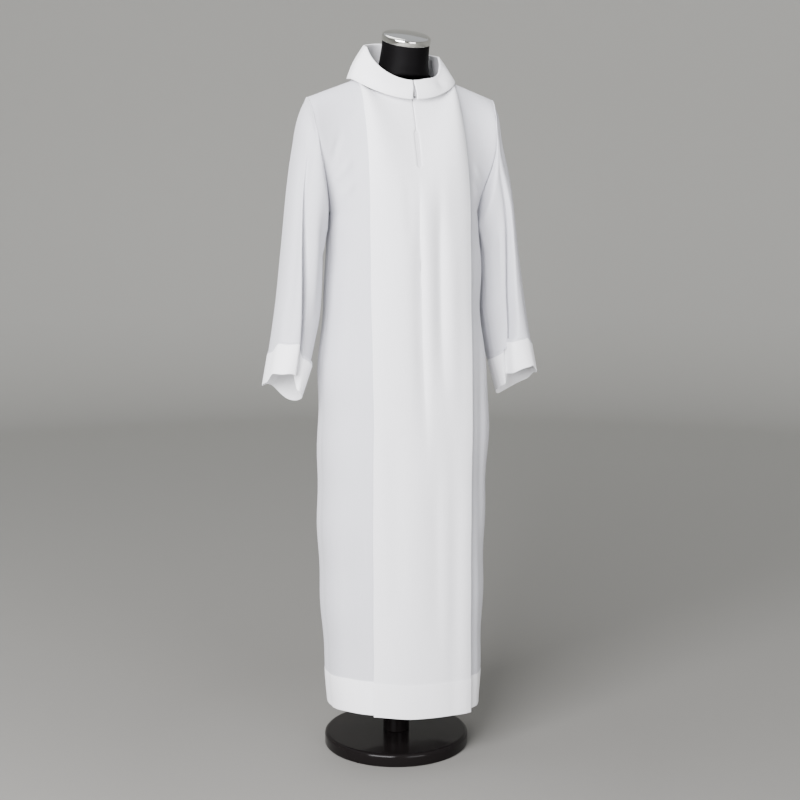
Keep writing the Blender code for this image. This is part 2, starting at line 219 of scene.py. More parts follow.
def woven(name, single, double, roughness, sheen, relief):
    """Plain weave on the UV map: crossed threads, slubs along the warp, and lighter plies."""
    material, tree, shader = new_material(name)
    shader.inputs["Roughness"].default_value = roughness
    shader.inputs["Sheen Weight"].default_value = sheen
    shader.inputs["Sheen Roughness"].default_value = SHEEN_ROUGHNESS
    shader.inputs["Specular IOR Level"].default_value = CLOTH_SPECULAR
    link = tree.links.new
    uv = add_node(tree, "ShaderNodeUVMap", uv_map="cloth")

    slub_place = add_node(tree, "ShaderNodeMapping")
    slub_place.inputs["Scale"].default_value = SLUB_SCALE
    slub = set_inputs(add_node(tree, "ShaderNodeTexNoise"), Scale=1.0, Detail=3.0, Roughness=0.6)
    link(uv.outputs["UV"], slub_place.inputs["Vector"])
    link(slub_place.outputs["Vector"], slub.inputs["Vector"])

    thread_place = add_node(tree, "ShaderNodeMapping")
    thread_place.inputs["Scale"].default_value = WEAVE_SCALE
    link(uv.outputs["UV"], thread_place.inputs["Vector"])
    threads = []
    for direction in ("X", "Y"):
        wave = add_node(tree, "ShaderNodeTexWave", bands_direction=direction)
        set_inputs(wave, Scale=1.0, Distortion=0.6, Detail=1.0)
        link(thread_place.outputs["Vector"], wave.inputs["Vector"])
        threads.append(wave)
    weave = add_node(tree, "ShaderNodeMath", operation="MULTIPLY")
    link(threads[0].outputs["Fac"], weave.inputs[0])
    link(threads[1].outputs["Fac"], weave.inputs[1])
    surface = add_node(tree, "ShaderNodeMath", operation="ADD")
    link(weave.outputs["Value"], surface.inputs[0])
    link(slub.outputs["Fac"], surface.inputs[1])

    layers = add_node(tree, "ShaderNodeAttribute", attribute_name="ply")
    colour = add_node(tree, "ShaderNodeMix", data_type="RGBA")
    colour.inputs["A"].default_value = (*single, 1.0)
    colour.inputs["B"].default_value = (*double, 1.0)
    link(layers.outputs["Fac"], colour.inputs["Factor"])
    shade = add_node(tree, "ShaderNodeMapRange")
    set_inputs(shade, From_Min=0.25, From_Max=0.75, To_Min=SLUB_DARK, To_Max=SLUB_LIGHT)
    link(slub.outputs["Fac"], shade.inputs["Value"])
    tint = add_node(tree, "ShaderNodeVectorMath", operation="SCALE")
    link(colour.outputs["Result"], tint.inputs[0])
    link(shade.outputs["Result"], tint.inputs["Scale"])
    link(tint.outputs["Vector"], shader.inputs["Base Color"])

    bump = set_inputs(add_node(tree, "ShaderNodeBump"), Strength=relief, Distance=BUMP_HEIGHT)
    link(surface.outputs["Value"], bump.inputs["Height"])
    link(bump.outputs["Normal"], shader.inputs["Normal"])
    return material


ONE_LAYER = (0.575, 0.580, 0.615)
TWO_LAYERS = (0.910, 0.912, 0.930)
TAPE_WHITE = (0.76, 0.76, 0.78)
robe_cloth = woven("robe_cloth", ONE_LAYER, TWO_LAYERS, 0.78, 0.16, 0.35)
zip_tape = woven("zip_tape", TAPE_WHITE, TAPE_WHITE, 0.85, 0.10, 0.8)
print("cloth finishes:", robe_cloth.name, zip_tape.name)


# %% Thread, chrome, black cover and black gloss
def plain_finish(name, colour, roughness, metallic=0.0, coat=0.0, patch=60.0, spread=0.05, relief=0.02,
                 specular=0.5):
    """A hard finish whose gloss varies softly from place to place."""
    material, tree, shader = new_material(name)
    shader.inputs["Specular IOR Level"].default_value = specular
    shader.inputs["Base Color"].default_value = (*colour, 1.0)
    shader.inputs["Metallic"].default_value = metallic
    shader.inputs["Coat Weight"].default_value = coat
    shader.inputs["Coat Roughness"].default_value = 0.06
    link = tree.links.new
    place = add_node(tree, "ShaderNodeTexCoord")
    noise = set_inputs(add_node(tree, "ShaderNodeTexNoise"), Scale=patch, Detail=4.0, Roughness=0.6)
    gloss = add_node(tree, "ShaderNodeMapRange")
    set_inputs(gloss, From_Min=0.3, From_Max=0.7)
    set_inputs(gloss, To_Min=max(roughness - spread, 0.02), To_Max=roughness + spread)
    bump = set_inputs(add_node(tree, "ShaderNodeBump"), Strength=relief, Distance=0.0005)
    link(place.outputs["Object"], noise.inputs["Vector"])
    link(noise.outputs["Fac"], gloss.inputs["Value"])
    link(gloss.outputs["Result"], shader.inputs["Roughness"])
    link(noise.outputs["Fac"], bump.inputs["Height"])
    link(bump.outputs["Normal"], shader.inputs["Normal"])
    return material


thread = plain_finish("sewing_thread", (0.82, 0.83, 0.85), 0.55, patch=3000.0, relief=0.3)
chrome = plain_finish("cap_chrome", (0.72, 0.72, 0.69), 0.09, metallic=1.0, patch=40.0, spread=0.03)
cover = plain_finish("form_cover", (0.0025, 0.0023, 0.0025), 0.48, patch=2500.0, relief=0.5, specular=0.04)
gloss = plain_finish("stand_gloss", (0.006, 0.005, 0.005), 0.15, patch=25.0, spread=0.05, specular=0.11)
teeth = plain_finish("zip_teeth", (0.70, 0.70, 0.72), 0.35, patch=2000.0)
print("hard finishes:", thread.name, chrome.name, cover.name, gloss.name, teeth.name)

# %% [markdown]
# ## The robe's surface
#
# A maker cuts a front, a back, two sleeves and a collar. Here the front and the back are each one
# surface, read at a place across (q, from -1 at one side seam to 1 at the other) and a place down
# (v, 0 at the neck and shoulders, 1 at the underarm, 2 at the hem). Most sizes are the ones that
# the solids were built from, so the cloth lies where the frame says. What a stiff solid has no use
# for is only here: the pleat's uneven width, the pull of the armholes and the sway of the sides.

# %% Sizes of the robe
PANEL_HALF = 0.118
PANEL_EDGE = 0.5
PANEL_RIGHT_TOP = 0.1105
PANEL_RIGHT_HEM = 0.1125
PANEL_LEFT_TOP = 0.1205
PANEL_LEFT_HEM = 0.1130
PLEAT_UNDER = 0.032
PLEAT_LIFT_TOP = 0.0026
PLEAT_LIFT_HEM = 0.0074
UNDERLAY_LIFT_TOP = 0.0003
UNDERLAY_LIFT_LOW = 0.0009
ROUNDNESS = 2.3
WALL = 0.0010
UNDERARM = 1.262
HEM = 0.117
HEM_SLOPE = -0.060
HEM_LIFT = 0.006
TURNED_HEM = 0.080
NECK_SIDE = Vector((0.111, -0.036, 1.552))
SHOULDER = Vector((0.223, -0.034, 1.513))
ARMHOLE_FRONT = 0.062
ARMHOLE_BACK = 0.052
ARMHOLE_PULL = 0.010
SHOULDER_DROP = 0.016
ARMPIT_SWELL = 0.013
ARMPIT_HEIGHT = 1.150
ARMPIT_REACH = 0.110
SWAY = 0.0070
SWAY_HEIGHT = 0.800
SWAY_REACH = 0.140
SIDE_WAVE = 0.0016
SIDE_WAVES = 34.0
ZIP_END = 1.360
ZIP_LAP_TOP = 1.445
ZIP_SLIT = 0.0010
ZIP_LAP = 0.0045

NeckRing = namedtuple("NeckRing", "half_width front side back z_front z_side z_back")
NECK_SEAM = NeckRing(0.111, -0.093, -0.036, 0.058, 1.512, 1.552, 1.572)

Section = namedtuple("Section", "height half_width front side back")
BODY = [
    Section(1.262, 0.172, -0.151, -0.032, 0.104),
    Section(1.170, 0.173, -0.154, -0.032, 0.106),
    Section(1.060, 0.178, -0.157, -0.032, 0.107),
    Section(0.955, 0.192, -0.159, -0.033, 0.107),
    Section(0.880, 0.199, -0.161, -0.034, 0.107),
    Section(0.780, 0.202, -0.162, -0.034, 0.106),
    Section(0.640, 0.200, -0.163, -0.034, 0.104),
    Section(0.500, 0.198, -0.165, -0.035, 0.101),
    Section(0.370, 0.194, -0.167, -0.038, 0.097),
    Section(0.240, 0.188, -0.170, -0.042, 0.092),
    Section(0.117, 0.182, -0.172, -0.048, 0.086),
]


def body_section(height):
    height = min(max(height, BODY[-1].height), BODY[0].height)
    at = 0
    while at < len(BODY) - 2 and BODY[at + 1].height > height:
        at += 1
    return read_row(BODY, at + (BODY[at].height - height) / (BODY[at].height - BODY[at + 1].height))


# %% [markdown]
# ## Creases
#
# No cloth hangs quite smooth. A crease here is one soft trough or ridge with its own place,
# length, width and depth. Those on the front follow the picture: a long trough below the zip
# with a sharp right bank, a second one beside it, and small pulls at the armholes. The back and
# the far side have others of the same kind, placed unevenly.

# %% Crease tables
# A crease's place across at its top and how far it drifts, its heights, its reach to each side,
# and how far out it stands, which is negative for a trough
Crease = namedtuple("Crease", "x drift top bottom left right depth")
FRONT_CREASES = [
    Crease(-0.0075, 0.0150, 1.380, 0.690, 0.0220, 0.0085, -0.0086),
    Crease(-0.0040, 0.0080, 1.350, 1.020, 0.0100, 0.0036, -0.0030),
    Crease(0.0430, 0.0040, 1.390, 0.820, 0.0190, 0.0120, -0.0084),
    Crease(0.0740, 0.0000, 1.330, 0.700, 0.0140, 0.0160, 0.0024),
    Crease(-0.0320, 0.0040, 1.360, 1.180, 0.0120, 0.0160, -0.0020),
    Crease(0.0280, 0.0060, 0.780, 0.200, 0.0260, 0.0160, -0.0034),
    Crease(-0.0700, 0.0100, 0.900, 0.240, 0.0220, 0.0220, -0.0020),
    Crease(0.0850, -0.0060, 0.760, 0.120, 0.0220, 0.0160, -0.0026),
    Crease(-0.1600, 0.0000, 0.620, 0.150, 0.0120, 0.0120, -0.0055),
    Crease(-0.1480, 0.0060, 1.180, 0.800, 0.0110, 0.0140, -0.0030),
    Crease(0.1600, 0.0000, 1.150, 0.420, 0.0110, 0.0110, -0.0055),
    Crease(0.1460, 0.0050, 0.640, 0.117, 0.0100, 0.0120, 0.0040),
    Crease(-0.1420, 0.0080, 1.420, 1.180, 0.0090, 0.0120, -0.0028),
    Crease(0.1460, -0.0080, 1.420, 1.180, 0.0120, 0.0090, -0.0030),
]
BACK_CREASES = [
    Crease(-0.1200, -0.0140, 1.330, 0.080, 0.0220, 0.0220, 0.0085),
    Crease(-0.0660, -0.0080, 1.200, 0.080, 0.0200, 0.0200, -0.0075),
    Crease(-0.0080, 0.0100, 1.350, 0.080, 0.0220, 0.0220, 0.0080),
    Crease(0.0580, 0.0100, 1.260, 0.080, 0.0200, 0.0200, -0.0085),
    Crease(0.1220, 0.0120, 1.300, 0.080, 0.0200, 0.0200, 0.0070),
    Crease(-0.0950, -0.0100, 0.900, 0.160, 0.0090, 0.0120, -0.0026),
    Crease(0.0300, 0.0060, 1.420, 1.050, 0.0110, 0.0080, -0.0034),
    Crease(-0.0420, 0.0060, 1.440, 1.100, 0.0120, 0.0090, -0.0030),
    Crease(0.0900, 0.0040, 0.760, 0.200, 0.0080, 0.0110, 0.0024),
]

# A pull's start at the armhole, how far it reaches across and up, its spread and its depth
Pull = namedtuple("Pull", "x z reach_x reach_z spread depth")
FRONT_PULLS = [
    Pull(-0.178, 1.330, 0.034, 0.050, 0.0060, 0.0030),
    Pull(-0.174, 1.285, 0.040, 0.052, 0.0065, 0.0034),
    Pull(-0.184, 1.375, 0.016, 0.060, 0.0070, -0.0028),
    Pull(0.178, 1.325, -0.034, 0.048, 0.0060, 0.0030),
    Pull(0.174, 1.280, -0.036, 0.056, 0.0065, 0.0032),
    Pull(-0.150, 1.470, 0.040, 0.020, 0.0100, -0.0016),
    Pull(0.150, 1.470, -0.040, 0.024, 0.0100, -0.0018),
]
BACK_PULLS = [
    Pull(-0.172, 1.300, 0.050, 0.050, 0.0070, 0.0032),
    Pull(0.172, 1.305, -0.052, 0.046, 0.0070, 0.0034),
    Pull(-0.178, 1.370, 0.030, 0.040, 0.0070, -0.0028),
    Pull(0.176, 1.360, -0.028, 0.044, 0.0075, -0.0028),
]
print("creases:", len(FRONT_CREASES), "in front and", len(BACK_CREASES), "behind")


# %% How far the creases move a place
def crease_depth(creases, x, height):
    total = 0.0
    for crease in creases:
        down = (crease.top - height) / (crease.top - crease.bottom)
        if 0.0 < down < 1.0:
            centre = crease.x + crease.drift * down
            fade = 1.0 if crease.bottom <= HEM else smooth((1.0 - down) / 0.4)
            across = (x - centre) / (crease.left if x < centre else crease.right)
            total += crease.depth * smooth(down / 0.4) * fade * exp(-across * across)
    return total


def pull_depth(pulls, x, height):
    """Short slanted ridges: each is strongest at its own middle and fades at both ends."""
    total = 0.0
    for pull in pulls:
        length = (pull.reach_x ** 2 + pull.reach_z ** 2) ** 0.5
        along_x, along_z = pull.reach_x / length, pull.reach_z / length
        dx, dz = x - pull.x, height - pull.z
        along = (dx * along_x + dz * along_z) / length
        across = (dx * along_z - dz * along_x) / pull.spread
        if abs(across) < 3.0 and -0.6 < along < 1.6:
            total += pull.depth * exp(-across * across) * exp(-((along - 0.5) / 0.45) ** 2)
    return total


# %% The surface of the front and the back
def ring_place(ring, angle, lie=1.0):
    turn = radians(angle)
    forward = cos(turn)
    end_y = ring.front if forward > 0.0 else ring.back
    end_z = ring.z_front if forward > 0.0 else ring.z_back
    y = mix(ring.side, end_y, abs(forward))
    z = mix(ring.z_side, end_z, abs(forward) ** lie)
    return Vector((ring.half_width * sin(turn), y, z))


def level_place(section, angle, end, height):
    turn = radians(min(angle, 90.0))
    power = 2.0 / ROUNDNESS
    y = mix(section.side, getattr(section, end), max(cos(turn), 0.0) ** power)
    return Vector((section.half_width * sin(turn) ** power, y, height))


def panel_angle(section, x):
    share = min(x / section.half_width, 1.0)
    return degrees(asin(share ** (ROUNDNESS / 2.0)))


def half_place(q, v, back, panel_half):
    """A place on the +X half: the pleated panel up to its edge, and past that the side."""
    neck_share = min(q / PANEL_EDGE, 1.0)
    side_share = max((q - PANEL_EDGE) / (1.0 - PANEL_EDGE), 0.0)
    height = mix(UNDERARM, HEM, max(v - 1.0, 0.0))
    section = body_section(height)
    angle = panel_angle(section, panel_half * neck_share)
    if side_share > 0.0:
        angle = mix(angle, 90.0, side_share)
    low = level_place(section, angle, "back" if back else "front", height)
    if v >= 1.0:
        return low
    turn = 90.0 * neck_share
    top = ring_place(NECK_SEAM, 180.0 - turn if back else turn)
    if q > PANEL_EDGE:
        top = NECK_SIDE.lerp(SHOULDER, side_share)
    round_share = smooth(neck_share * 1.25)
    drop = mix(v, 1.0 - cos(v * pi / 2.0), round_share)
    reach = mix(1.0 - (1.0 - v) ** 1.5, sin(v * pi / 2.0), round_share)
    swell = side_share ** 2 * max(sin(pi * v), 0.0) ** 0.8
    y = mix(top.y, low.y, reach) + (ARMHOLE_BACK if back else -ARMHOLE_FRONT) * swell
    return Vector((mix(top.x, low.x, drop), y, mix(top.z, low.z, drop)))


def armpit_swell(q, height):
    """How far out the cloth lies below the armhole on the wearer's left, held by its sleeve."""
    near = exp(-((height - ARMPIT_HEIGHT) / ARMPIT_REACH) ** 2)
    return ARMPIT_SWELL * smooth((q - PANEL_EDGE) / 0.4) * near


def armhole_pull(q, v, back):
    """How far out and up the cloth beside an armhole lies from its even line."""
    if v >= 1.0:
        return 0.0, 0.0
    near = max((abs(q) - PANEL_EDGE) / (1.0 - PANEL_EDGE), 0.0) ** 2
    drop = -SHOULDER_DROP * near * max(sin(pi * v), 0.0) ** 0.8 * (1.0 - v)
    if back:
        return -0.5 * SHOULDER_DROP * near * sin(pi * v), drop
    if q > 0.0:
        return -ARMHOLE_PULL * near * sin(2.0 * pi * v), drop
    return ARMHOLE_PULL * near * sin(pi * v), drop


def panel_reach(q, v, back):
    """Half the pleated panel's width: the front's is not quite even."""
    if back:
        return PANEL_HALF
    down = smooth((v - 0.8) / 1.2)
    if q > 0.0:
        return mix(PANEL_LEFT_TOP, PANEL_LEFT_HEM, down)
    return mix(PANEL_RIGHT_TOP, PANEL_RIGHT_HEM, down)


def side_sway(q, height):
    """How far the robe's sides swing to the wearer's left at the hips, with a slight wave."""
    beside = smooth((abs(q) - 0.4) / 0.3) * smooth((UNDERARM - height) / 0.1)
    swing = SWAY * exp(-((height - SWAY_HEIGHT) / SWAY_REACH) ** 2)
    return beside * (swing + SIDE_WAVE * sin(SIDE_WAVES * height + 1.2 * q))


def cloth_place(q, v, back=False):
    """A place on the outside of the front or the back, with its creases and the hem's lean."""
    place = half_place(abs(q), v, back, panel_reach(q, v, back))
    out, up = armhole_pull(q, v, back)
    place.x += out + armpit_swell(q, place.z)
    place.z += up
    side = 1.0 if back else -1.0
    if q < 0.0:
        place.x = -place.x
    place.x += side_sway(q, place.z)
    edge_fade = 1.0 - smooth((abs(q) - 0.8) / 0.2)
    depth = crease_depth(BACK_CREASES if back else FRONT_CREASES, place.x, place.z) * edge_fade
    pull_fade = 1.0 - smooth((abs(q) - 0.94) / 0.06)
    depth += pull_depth(BACK_PULLS if back else FRONT_PULLS, place.x, place.z) * pull_fade
    place.y += side * depth
    place.z += HEM_SLOPE * place.x * max(v - 1.0, 0.0)
    if not back:
        place.z += HEM_LIFT * smooth(v - 1.0) * smooth((-q - 0.1) / 0.4) * smooth((1.0 + q) / 0.3)
    return place


def lifted_place(q, v, lift, back=False):
    """A place moved out along the surface's normal."""
    step = 0.004
    q_near = min(max(q, step - 1.0), 1.0 - step)
    v_near = min(max(v, step), 2.0 - step)
    across = cloth_place(q_near + step, v_near, back) - cloth_place(q_near - step, v_near, back)
    down = cloth_place(q_near, v_near + step, back) - cloth_place(q_near, v_near - step, back)
    normal = across.cross(down) if back else down.cross(across)
    return cloth_place(q, v, back) + normal.normalized() * lift


def row_of(height):
    """The place down the robe of a height below the underarm."""
    return 1.0 + (UNDERARM - height) / (UNDERARM - HEM)


def across_panel(x):
    """The place across of a distance from the middle, on the pleated panel."""
    return x / PANEL_HALF * PANEL_EDGE


print("width at the underarm in metres:", round(2.0 * body_section(UNDERARM).half_width, 3))

# %% [markdown]
# ## The front
#
# The middle of the front is a box pleat that stands a little proud of the sides, with its edges
# folded under. The zip's slit runs down from the neck, closed at the top and open as a narrow lap
# at its foot. The two side fronts go in under the pleat. Turned hems count as a second layer of
# cloth, and stand out by the thickness of one.

# %% Rows down the robe
YOKE_ROWS = 56
SKIRT_ROWS = 92
HEM_TOP = row_of(HEM + TURNED_HEM)
HEM_STEP = 0.0007
SEAM_DITCH = 0.0010
SIDE_DITCH_REACH = 0.022
SHOULDER_DITCH_REACH = 0.010


def zip_row(z):
    return (NECK_SEAM.z_front - z) / (NECK_SEAM.z_front - UNDERARM)


def cloth_rows():
    rows = [step / YOKE_ROWS for step in range(YOKE_ROWS + 1)]
    rows += [1.0 + step / SKIRT_ROWS for step in range(1, SKIRT_ROWS + 1)]
    rows += [HEM_TOP - 0.0014, HEM_TOP + 0.0014, row_of(HEM + 0.004), row_of(HEM + 0.0012)]
    rows += [zip_row(ZIP_END + step) for step in (-0.001, 0.0, 0.0006, 0.0018, 0.004)]
    rows += [0.002, 0.006]
    return sorted(set(rows))


def hem_layers(v):
    return 1.0 if v > HEM_TOP else 0.0


def hem_lift(v):
    return HEM_STEP * smooth((v - HEM_TOP) / 0.004 + 0.5)


def seam_dip(q, v):
    """How far the cloth is drawn in beside the side seams, armholes and shoulder seams."""
    at_side = exp(-((1.0 - abs(q)) / SIDE_DITCH_REACH) ** 2)
    at_shoulder = exp(-(v / SHOULDER_DITCH_REACH) ** 2) * smooth((abs(q) - 0.45) / 0.05)
    return -SEAM_DITCH * max(at_side, at_shoulder)


ROWS = cloth_rows()
print("rows down the robe:", len(ROWS))


# %% Side fronts
def side_front(name, side, material):
    inner = PANEL_EDGE * (1.0 - PLEAT_UNDER / PANEL_HALF)
    columns = [mix(inner, 1.0, step / 34) for step in range(34)] + [0.992, 0.997, 1.0]
    grid, ply = [], []
    for v in ROWS:
        lift = hem_lift(v)
        grid.append([lifted_place(side * q, v, lift + seam_dip(q, v)) for q in columns])
        ply.append([hem_layers(v)] * len(columns))
    mesh = grid_mesh(name, grid, flip=side > 0, ply=ply)
    return cloth_piece(name, mesh, material, WALL)


for node, side in (("front_side_right", -1.0), ("front_side_left", 1.0)):
    piece = side_front(node + "_cloth", side, robe_cloth)
    dress(piece, node, "robe_cloth")
print("side fronts made")


# %% Front panel
# How far the panel's colour goes toward the lighter two-layer colour. This is mostly painted light: it
# makes the one-layer panel lighter than the sides, standing in for its face catching more light.
PANEL_PAINTED_LIGHT = 0.72
LIP = 0.0016
LIP_NEAR = 0.001
LIP_FAR = 0.005
PROUD_TOP = 0.0020
PROUD_HEM = 0.0060
PANEL_DROP = 0.0015
ZIP_EASE = 0.012
STITCH_EASE = 0.020
ZIP_FOOT = 0.003
PANEL_STEPS = 34


def pleat_lift(v):
    return mix(PLEAT_LIFT_TOP, PLEAT_LIFT_HEM, smooth(v / 2.0))


def underlay_lift(v):
    return mix(UNDERLAY_LIFT_TOP, UNDERLAY_LIFT_LOW, smooth(v / 0.5))


def slit_half_width(z, ease):
    """Half the slit's width: shut above and a lap below, with a stretch of easing between."""
    return mix(ZIP_SLIT * 0.4, ZIP_LAP, smooth((ZIP_LAP_TOP - z) / ease))


def zip_half_gap(z):
    """Half the slit's width, rounded at its foot."""
    return slit_half_width(z, ZIP_EASE) * min(max((z - ZIP_END) / ZIP_FOOT, 0.0), 1.0) ** 0.5


def proud_lift(q, v):
    """How far the pleat's edge on the wearer's left stands off, more than the rest of it."""
    return mix(PROUD_TOP, PROUD_HEM, smooth(v / 2.0)) * smooth((q - 0.28) / 0.22)


def panel_half(v, side):
    """Places from the slit out to the fold and back under: (q, lift, further out)."""
    lift = pleat_lift(v) + hem_lift(v)
    under = underlay_lift(v) + hem_lift(v)
    gap = across_panel(zip_half_gap(cloth_place(0.0, v).z))
    lip = LIP if gap > 0.0 else 0.0
    half = [(gap, lift - lip, 0.0), (gap + LIP_NEAR, lift - lip * 0.3, 0.0), (gap + LIP_FAR, lift, 0.0)]
    for step in range(1, PANEL_STEPS + 1):
        q = mix(gap + LIP_FAR, PANEL_EDGE, step / PANEL_STEPS)
        half.append((q, lift + proud_lift(q * side, v), 0.0))
    radius = (half[-1][1] - under) / 2.0
    for turn in (30.0, 60.0, 90.0, 120.0, 150.0):
        swing = radians(turn)
        half.append((PANEL_EDGE, under + radius + radius * cos(swing), radius * sin(swing)))
    inner = PANEL_EDGE * (1.0 - PLEAT_UNDER / PANEL_HALF)
    half += [(mix(PANEL_EDGE, inner, step / 4), under, 0.0) for step in range(5)]
    return half


def front_panel(material):
    grid, ply = [], []
    for v in ROWS:
        row = []
        for side, places in ((-1.0, reversed(panel_half(v, -1.0))), (1.0, panel_half(v, 1.0))):
            for q, out, beyond in places:
                point = lifted_place(side * q, v, out)
                point.x += side * beyond
                point.z -= PANEL_DROP * smooth(v - 1.0)
                row.append(point)
        grid.append(row)
        # The panel's lighter colour here is painted light.
        ply.append([max(hem_layers(v), PANEL_PAINTED_LIGHT)] * len(row))
    middle = len(grid[0]) // 2 - 1
    open_rows = [r for r, v in enumerate(ROWS) if cloth_place(0.0, v).z > ZIP_END + 0.0003]
    slit = {(r, middle) for r in open_rows}
    mesh = grid_mesh("front_panel_cloth", grid, slit, flip=True, ply=ply)
    return cloth_piece("front_panel_cloth", mesh, material, WALL)


panel = front_panel(robe_cloth)
dress(panel, "front_panel", "robe_cloth")
print("front panel:", len(panel.data.polygons), "faces before its wall")

# %% [markdown]
# ## The back, sleeves and collar
#
# The back hangs in a few deeper folds from the shoulder blades. Each sleeve starts on the armhole
# and falls outward, and its front doubles over into one long fold with a sharp outer edge. The
# collar stands up from the neck seam, rolls over, and falls outside to a free edge.

# %% Back
BACK_COLUMNS = 84


def back_panel(material):
    inner = [mix(-1.0, 1.0, step / BACK_COLUMNS) for step in range(1, BACK_COLUMNS)]
    columns = [-1.0, -0.997, -0.992] + inner + [0.992, 0.997, 1.0]
    grid, ply = [], []
    for v in ROWS:
        lift = hem_lift(v)
        grid.append([lifted_place(q, v, lift + seam_dip(q, v), back=True) for q in columns])
        ply.append([hem_layers(v)] * len(columns))
    return cloth_piece("back_cloth", grid_mesh("back_cloth", grid, ply=ply), material, WALL)


back = back_panel(robe_cloth)
dress(back, "back", "robe_cloth")
print("back:", len(back.data.polygons), "faces before its wall")

# %% Sleeve tables
Ring = namedtuple("Ring", "outer_x outer_z inner_x inner_z depth y valley valley_at tilt")
SLEEVE = [
    Ring(0.2375, 1.482, 0.1735, 1.243, 0.0660, -0.034, 0.00, -80, 0.000),
    Ring(0.2520, 1.436, 0.1755, 1.220, 0.0680, -0.035, 0.06, -80, 0.000),
    Ring(0.2640, 1.370, 0.1775, 1.185, 0.0690, -0.036, 0.16, -80, 0.000),
    Ring(0.2740, 1.300, 0.1800, 1.145, 0.0700, -0.037, 0.32, -80, 0.002),
    Ring(0.2845, 1.205, 0.1835, 1.090, 0.0700, -0.037, 0.46, -83, 0.004),
    Ring(0.2950, 1.115, 0.1885, 1.035, 0.0695, -0.037, 0.54, -88, 0.008),
    Ring(0.3050, 1.035, 0.1975, 0.985, 0.0690, -0.036, 0.56, -95, 0.012),
    Ring(0.3145, 0.968, 0.2105, 0.930, 0.0685, -0.036, 0.55, -105, 0.016),
    Ring(0.3165, 0.956, 0.2140, 0.918, 0.0683, -0.036, 0.54, -107, 0.017),
    Ring(0.3290, 0.888, 0.2400, 0.848, 0.0670, -0.035, 0.50, -120, 0.021),
]
# How much further out each sleeve's inner side hangs, ring by ring
Reach = namedtuple("Reach", "right left")
INNER_REACH = [
    Reach(0.009, 0.010), Reach(0.009, 0.015), Reach(0.008, 0.020), Reach(0.006, 0.020), Reach(0.005, 0.018),
    Reach(0.005, 0.014), Reach(0.006, 0.013), Reach(0.008, 0.011), Reach(0.008, 0.009), Reach(0.006, 0.004),
]
CUFF = 8.0
SLEEVE_ROWS = 116
SLEEVE_COLUMNS = 128
OVERLAP_SPREAD = 5.0
GROOVE_SPREAD = 7.0
GROOVE_SHARE = 0.45
SET_BACK_SPREAD = 44.0
NARROWER = 0.006
SWING_LEFT = 0.006
TURN_RIGHT_TOP = 34.0
TURN_RIGHT_CUFF = 6.0
CUFF_RAISE = 0.018
CUFF_BACK_RAISE = 0.025
CUFF_BACK_DROP = 0.018
CUFF_TIP_DROP = 0.012
TURN_LEFT_CUFF = -24.0
SLEEVE_MIDDLE = 4.5
BOXY = 0.008
BOXY_AT = 0.6
BOXY_REACH = 1.3
SET_IN = 1.6
WELT = 0.0007
WELT_AT = -0.80
WELT_REACH = 0.12

# Lobes of a cuff's edge: the angle of each one's middle, and its spread
Lobe = namedtuple("Lobe", "angle spread")
TIP_OUTSIDE = Lobe(-22.0, 26.0)
TIP_IN_FRONT = Lobe(-78.0, 25.0)
REAR_RIGHT = Lobe(82.0, 38.0)

# Where the cuff's front starts to rise, and where its rear drops, in degrees round the sleeve
FRONT_LEFT = -52.0
FRONT_RIGHT = -12.0
FRONT_RAMP = 26.0
FAR_FRONT = -55.0
FAR_RAMP = 45.0
FAR_RAISE = 0.55
FOLD_RAMP = 9.0
REAR_START = -12.0
REAR_RAMP = 34.0
REAR_END = 165.0
REAR_FADE = 60.0

# Smaller creases round a sleeve: where they lie, where they start and end, and their depth
Fold = namedtuple("Fold", "angle turn start end spread depth")
SLEEVE_FOLDS = [
    Fold(-35.0, -14.0, 0.6, 7.6, 10.0, -0.0030),
    Fold(20.0, 10.0, 0.3, 6.0, 9.0, 0.0022),
    Fold(75.0, 12.0, 0.8, 9.5, 16.0, -0.0110),
    Fold(125.0, 16.0, 0.2, 8.0, 12.0, 0.0060),
    Fold(-140.0, 4.0, 0.4, 8.2, 36.0, -0.0190),
    Fold(-165.0, -8.0, 0.1, 2.6, 7.0, 0.0034),
    Fold(-58.0, 8.0, -0.4, 2.4, 9.0, -0.0030),
]
print("sleeve rings:", len(SLEEVE), "and smaller creases:", len(SLEEVE_FOLDS))


# %% Sleeve surface
def armhole_place(angle, side):
    """A place on the armhole: 0 is its top, -90 its front, 180 the underarm."""
    turn = (angle + 180.0) % 360.0 - 180.0
    return cloth_place(side, abs(turn) / 180.0, back=turn > 0.0)


def off_angle(angle, centre):
    return (angle - centre + 180.0) % 360.0 - 180.0


def lobe(turn, at):
    return exp(-((turn - at.angle) / at.spread) ** 2)


def cuff_lift(angle, off, side):
    """How far the cuff's edge lies above its even line, lobe by lobe."""
    turn = off_angle(angle, 0.0)
    start = FRONT_LEFT if side > 0.0 else FRONT_RIGHT
    front = smooth((start - turn) / FRONT_RAMP) * smooth((off + FOLD_RAMP) / FOLD_RAMP)
    if side > 0.0:
        rear = smooth((turn - REAR_START) / REAR_RAMP) * smooth((REAR_END - turn) / REAR_FADE)
        tip = lobe(turn, TIP_OUTSIDE) + 0.5 * lobe(turn, TIP_IN_FRONT)
        return CUFF_RAISE * front - CUFF_TIP_DROP * tip - CUFF_BACK_DROP * rear
    far = 1.0 + FAR_RAISE * smooth((FAR_FRONT - turn) / FAR_RAMP)
    return CUFF_RAISE * front * far + CUFF_BACK_RAISE * lobe(turn, REAR_RIGHT)


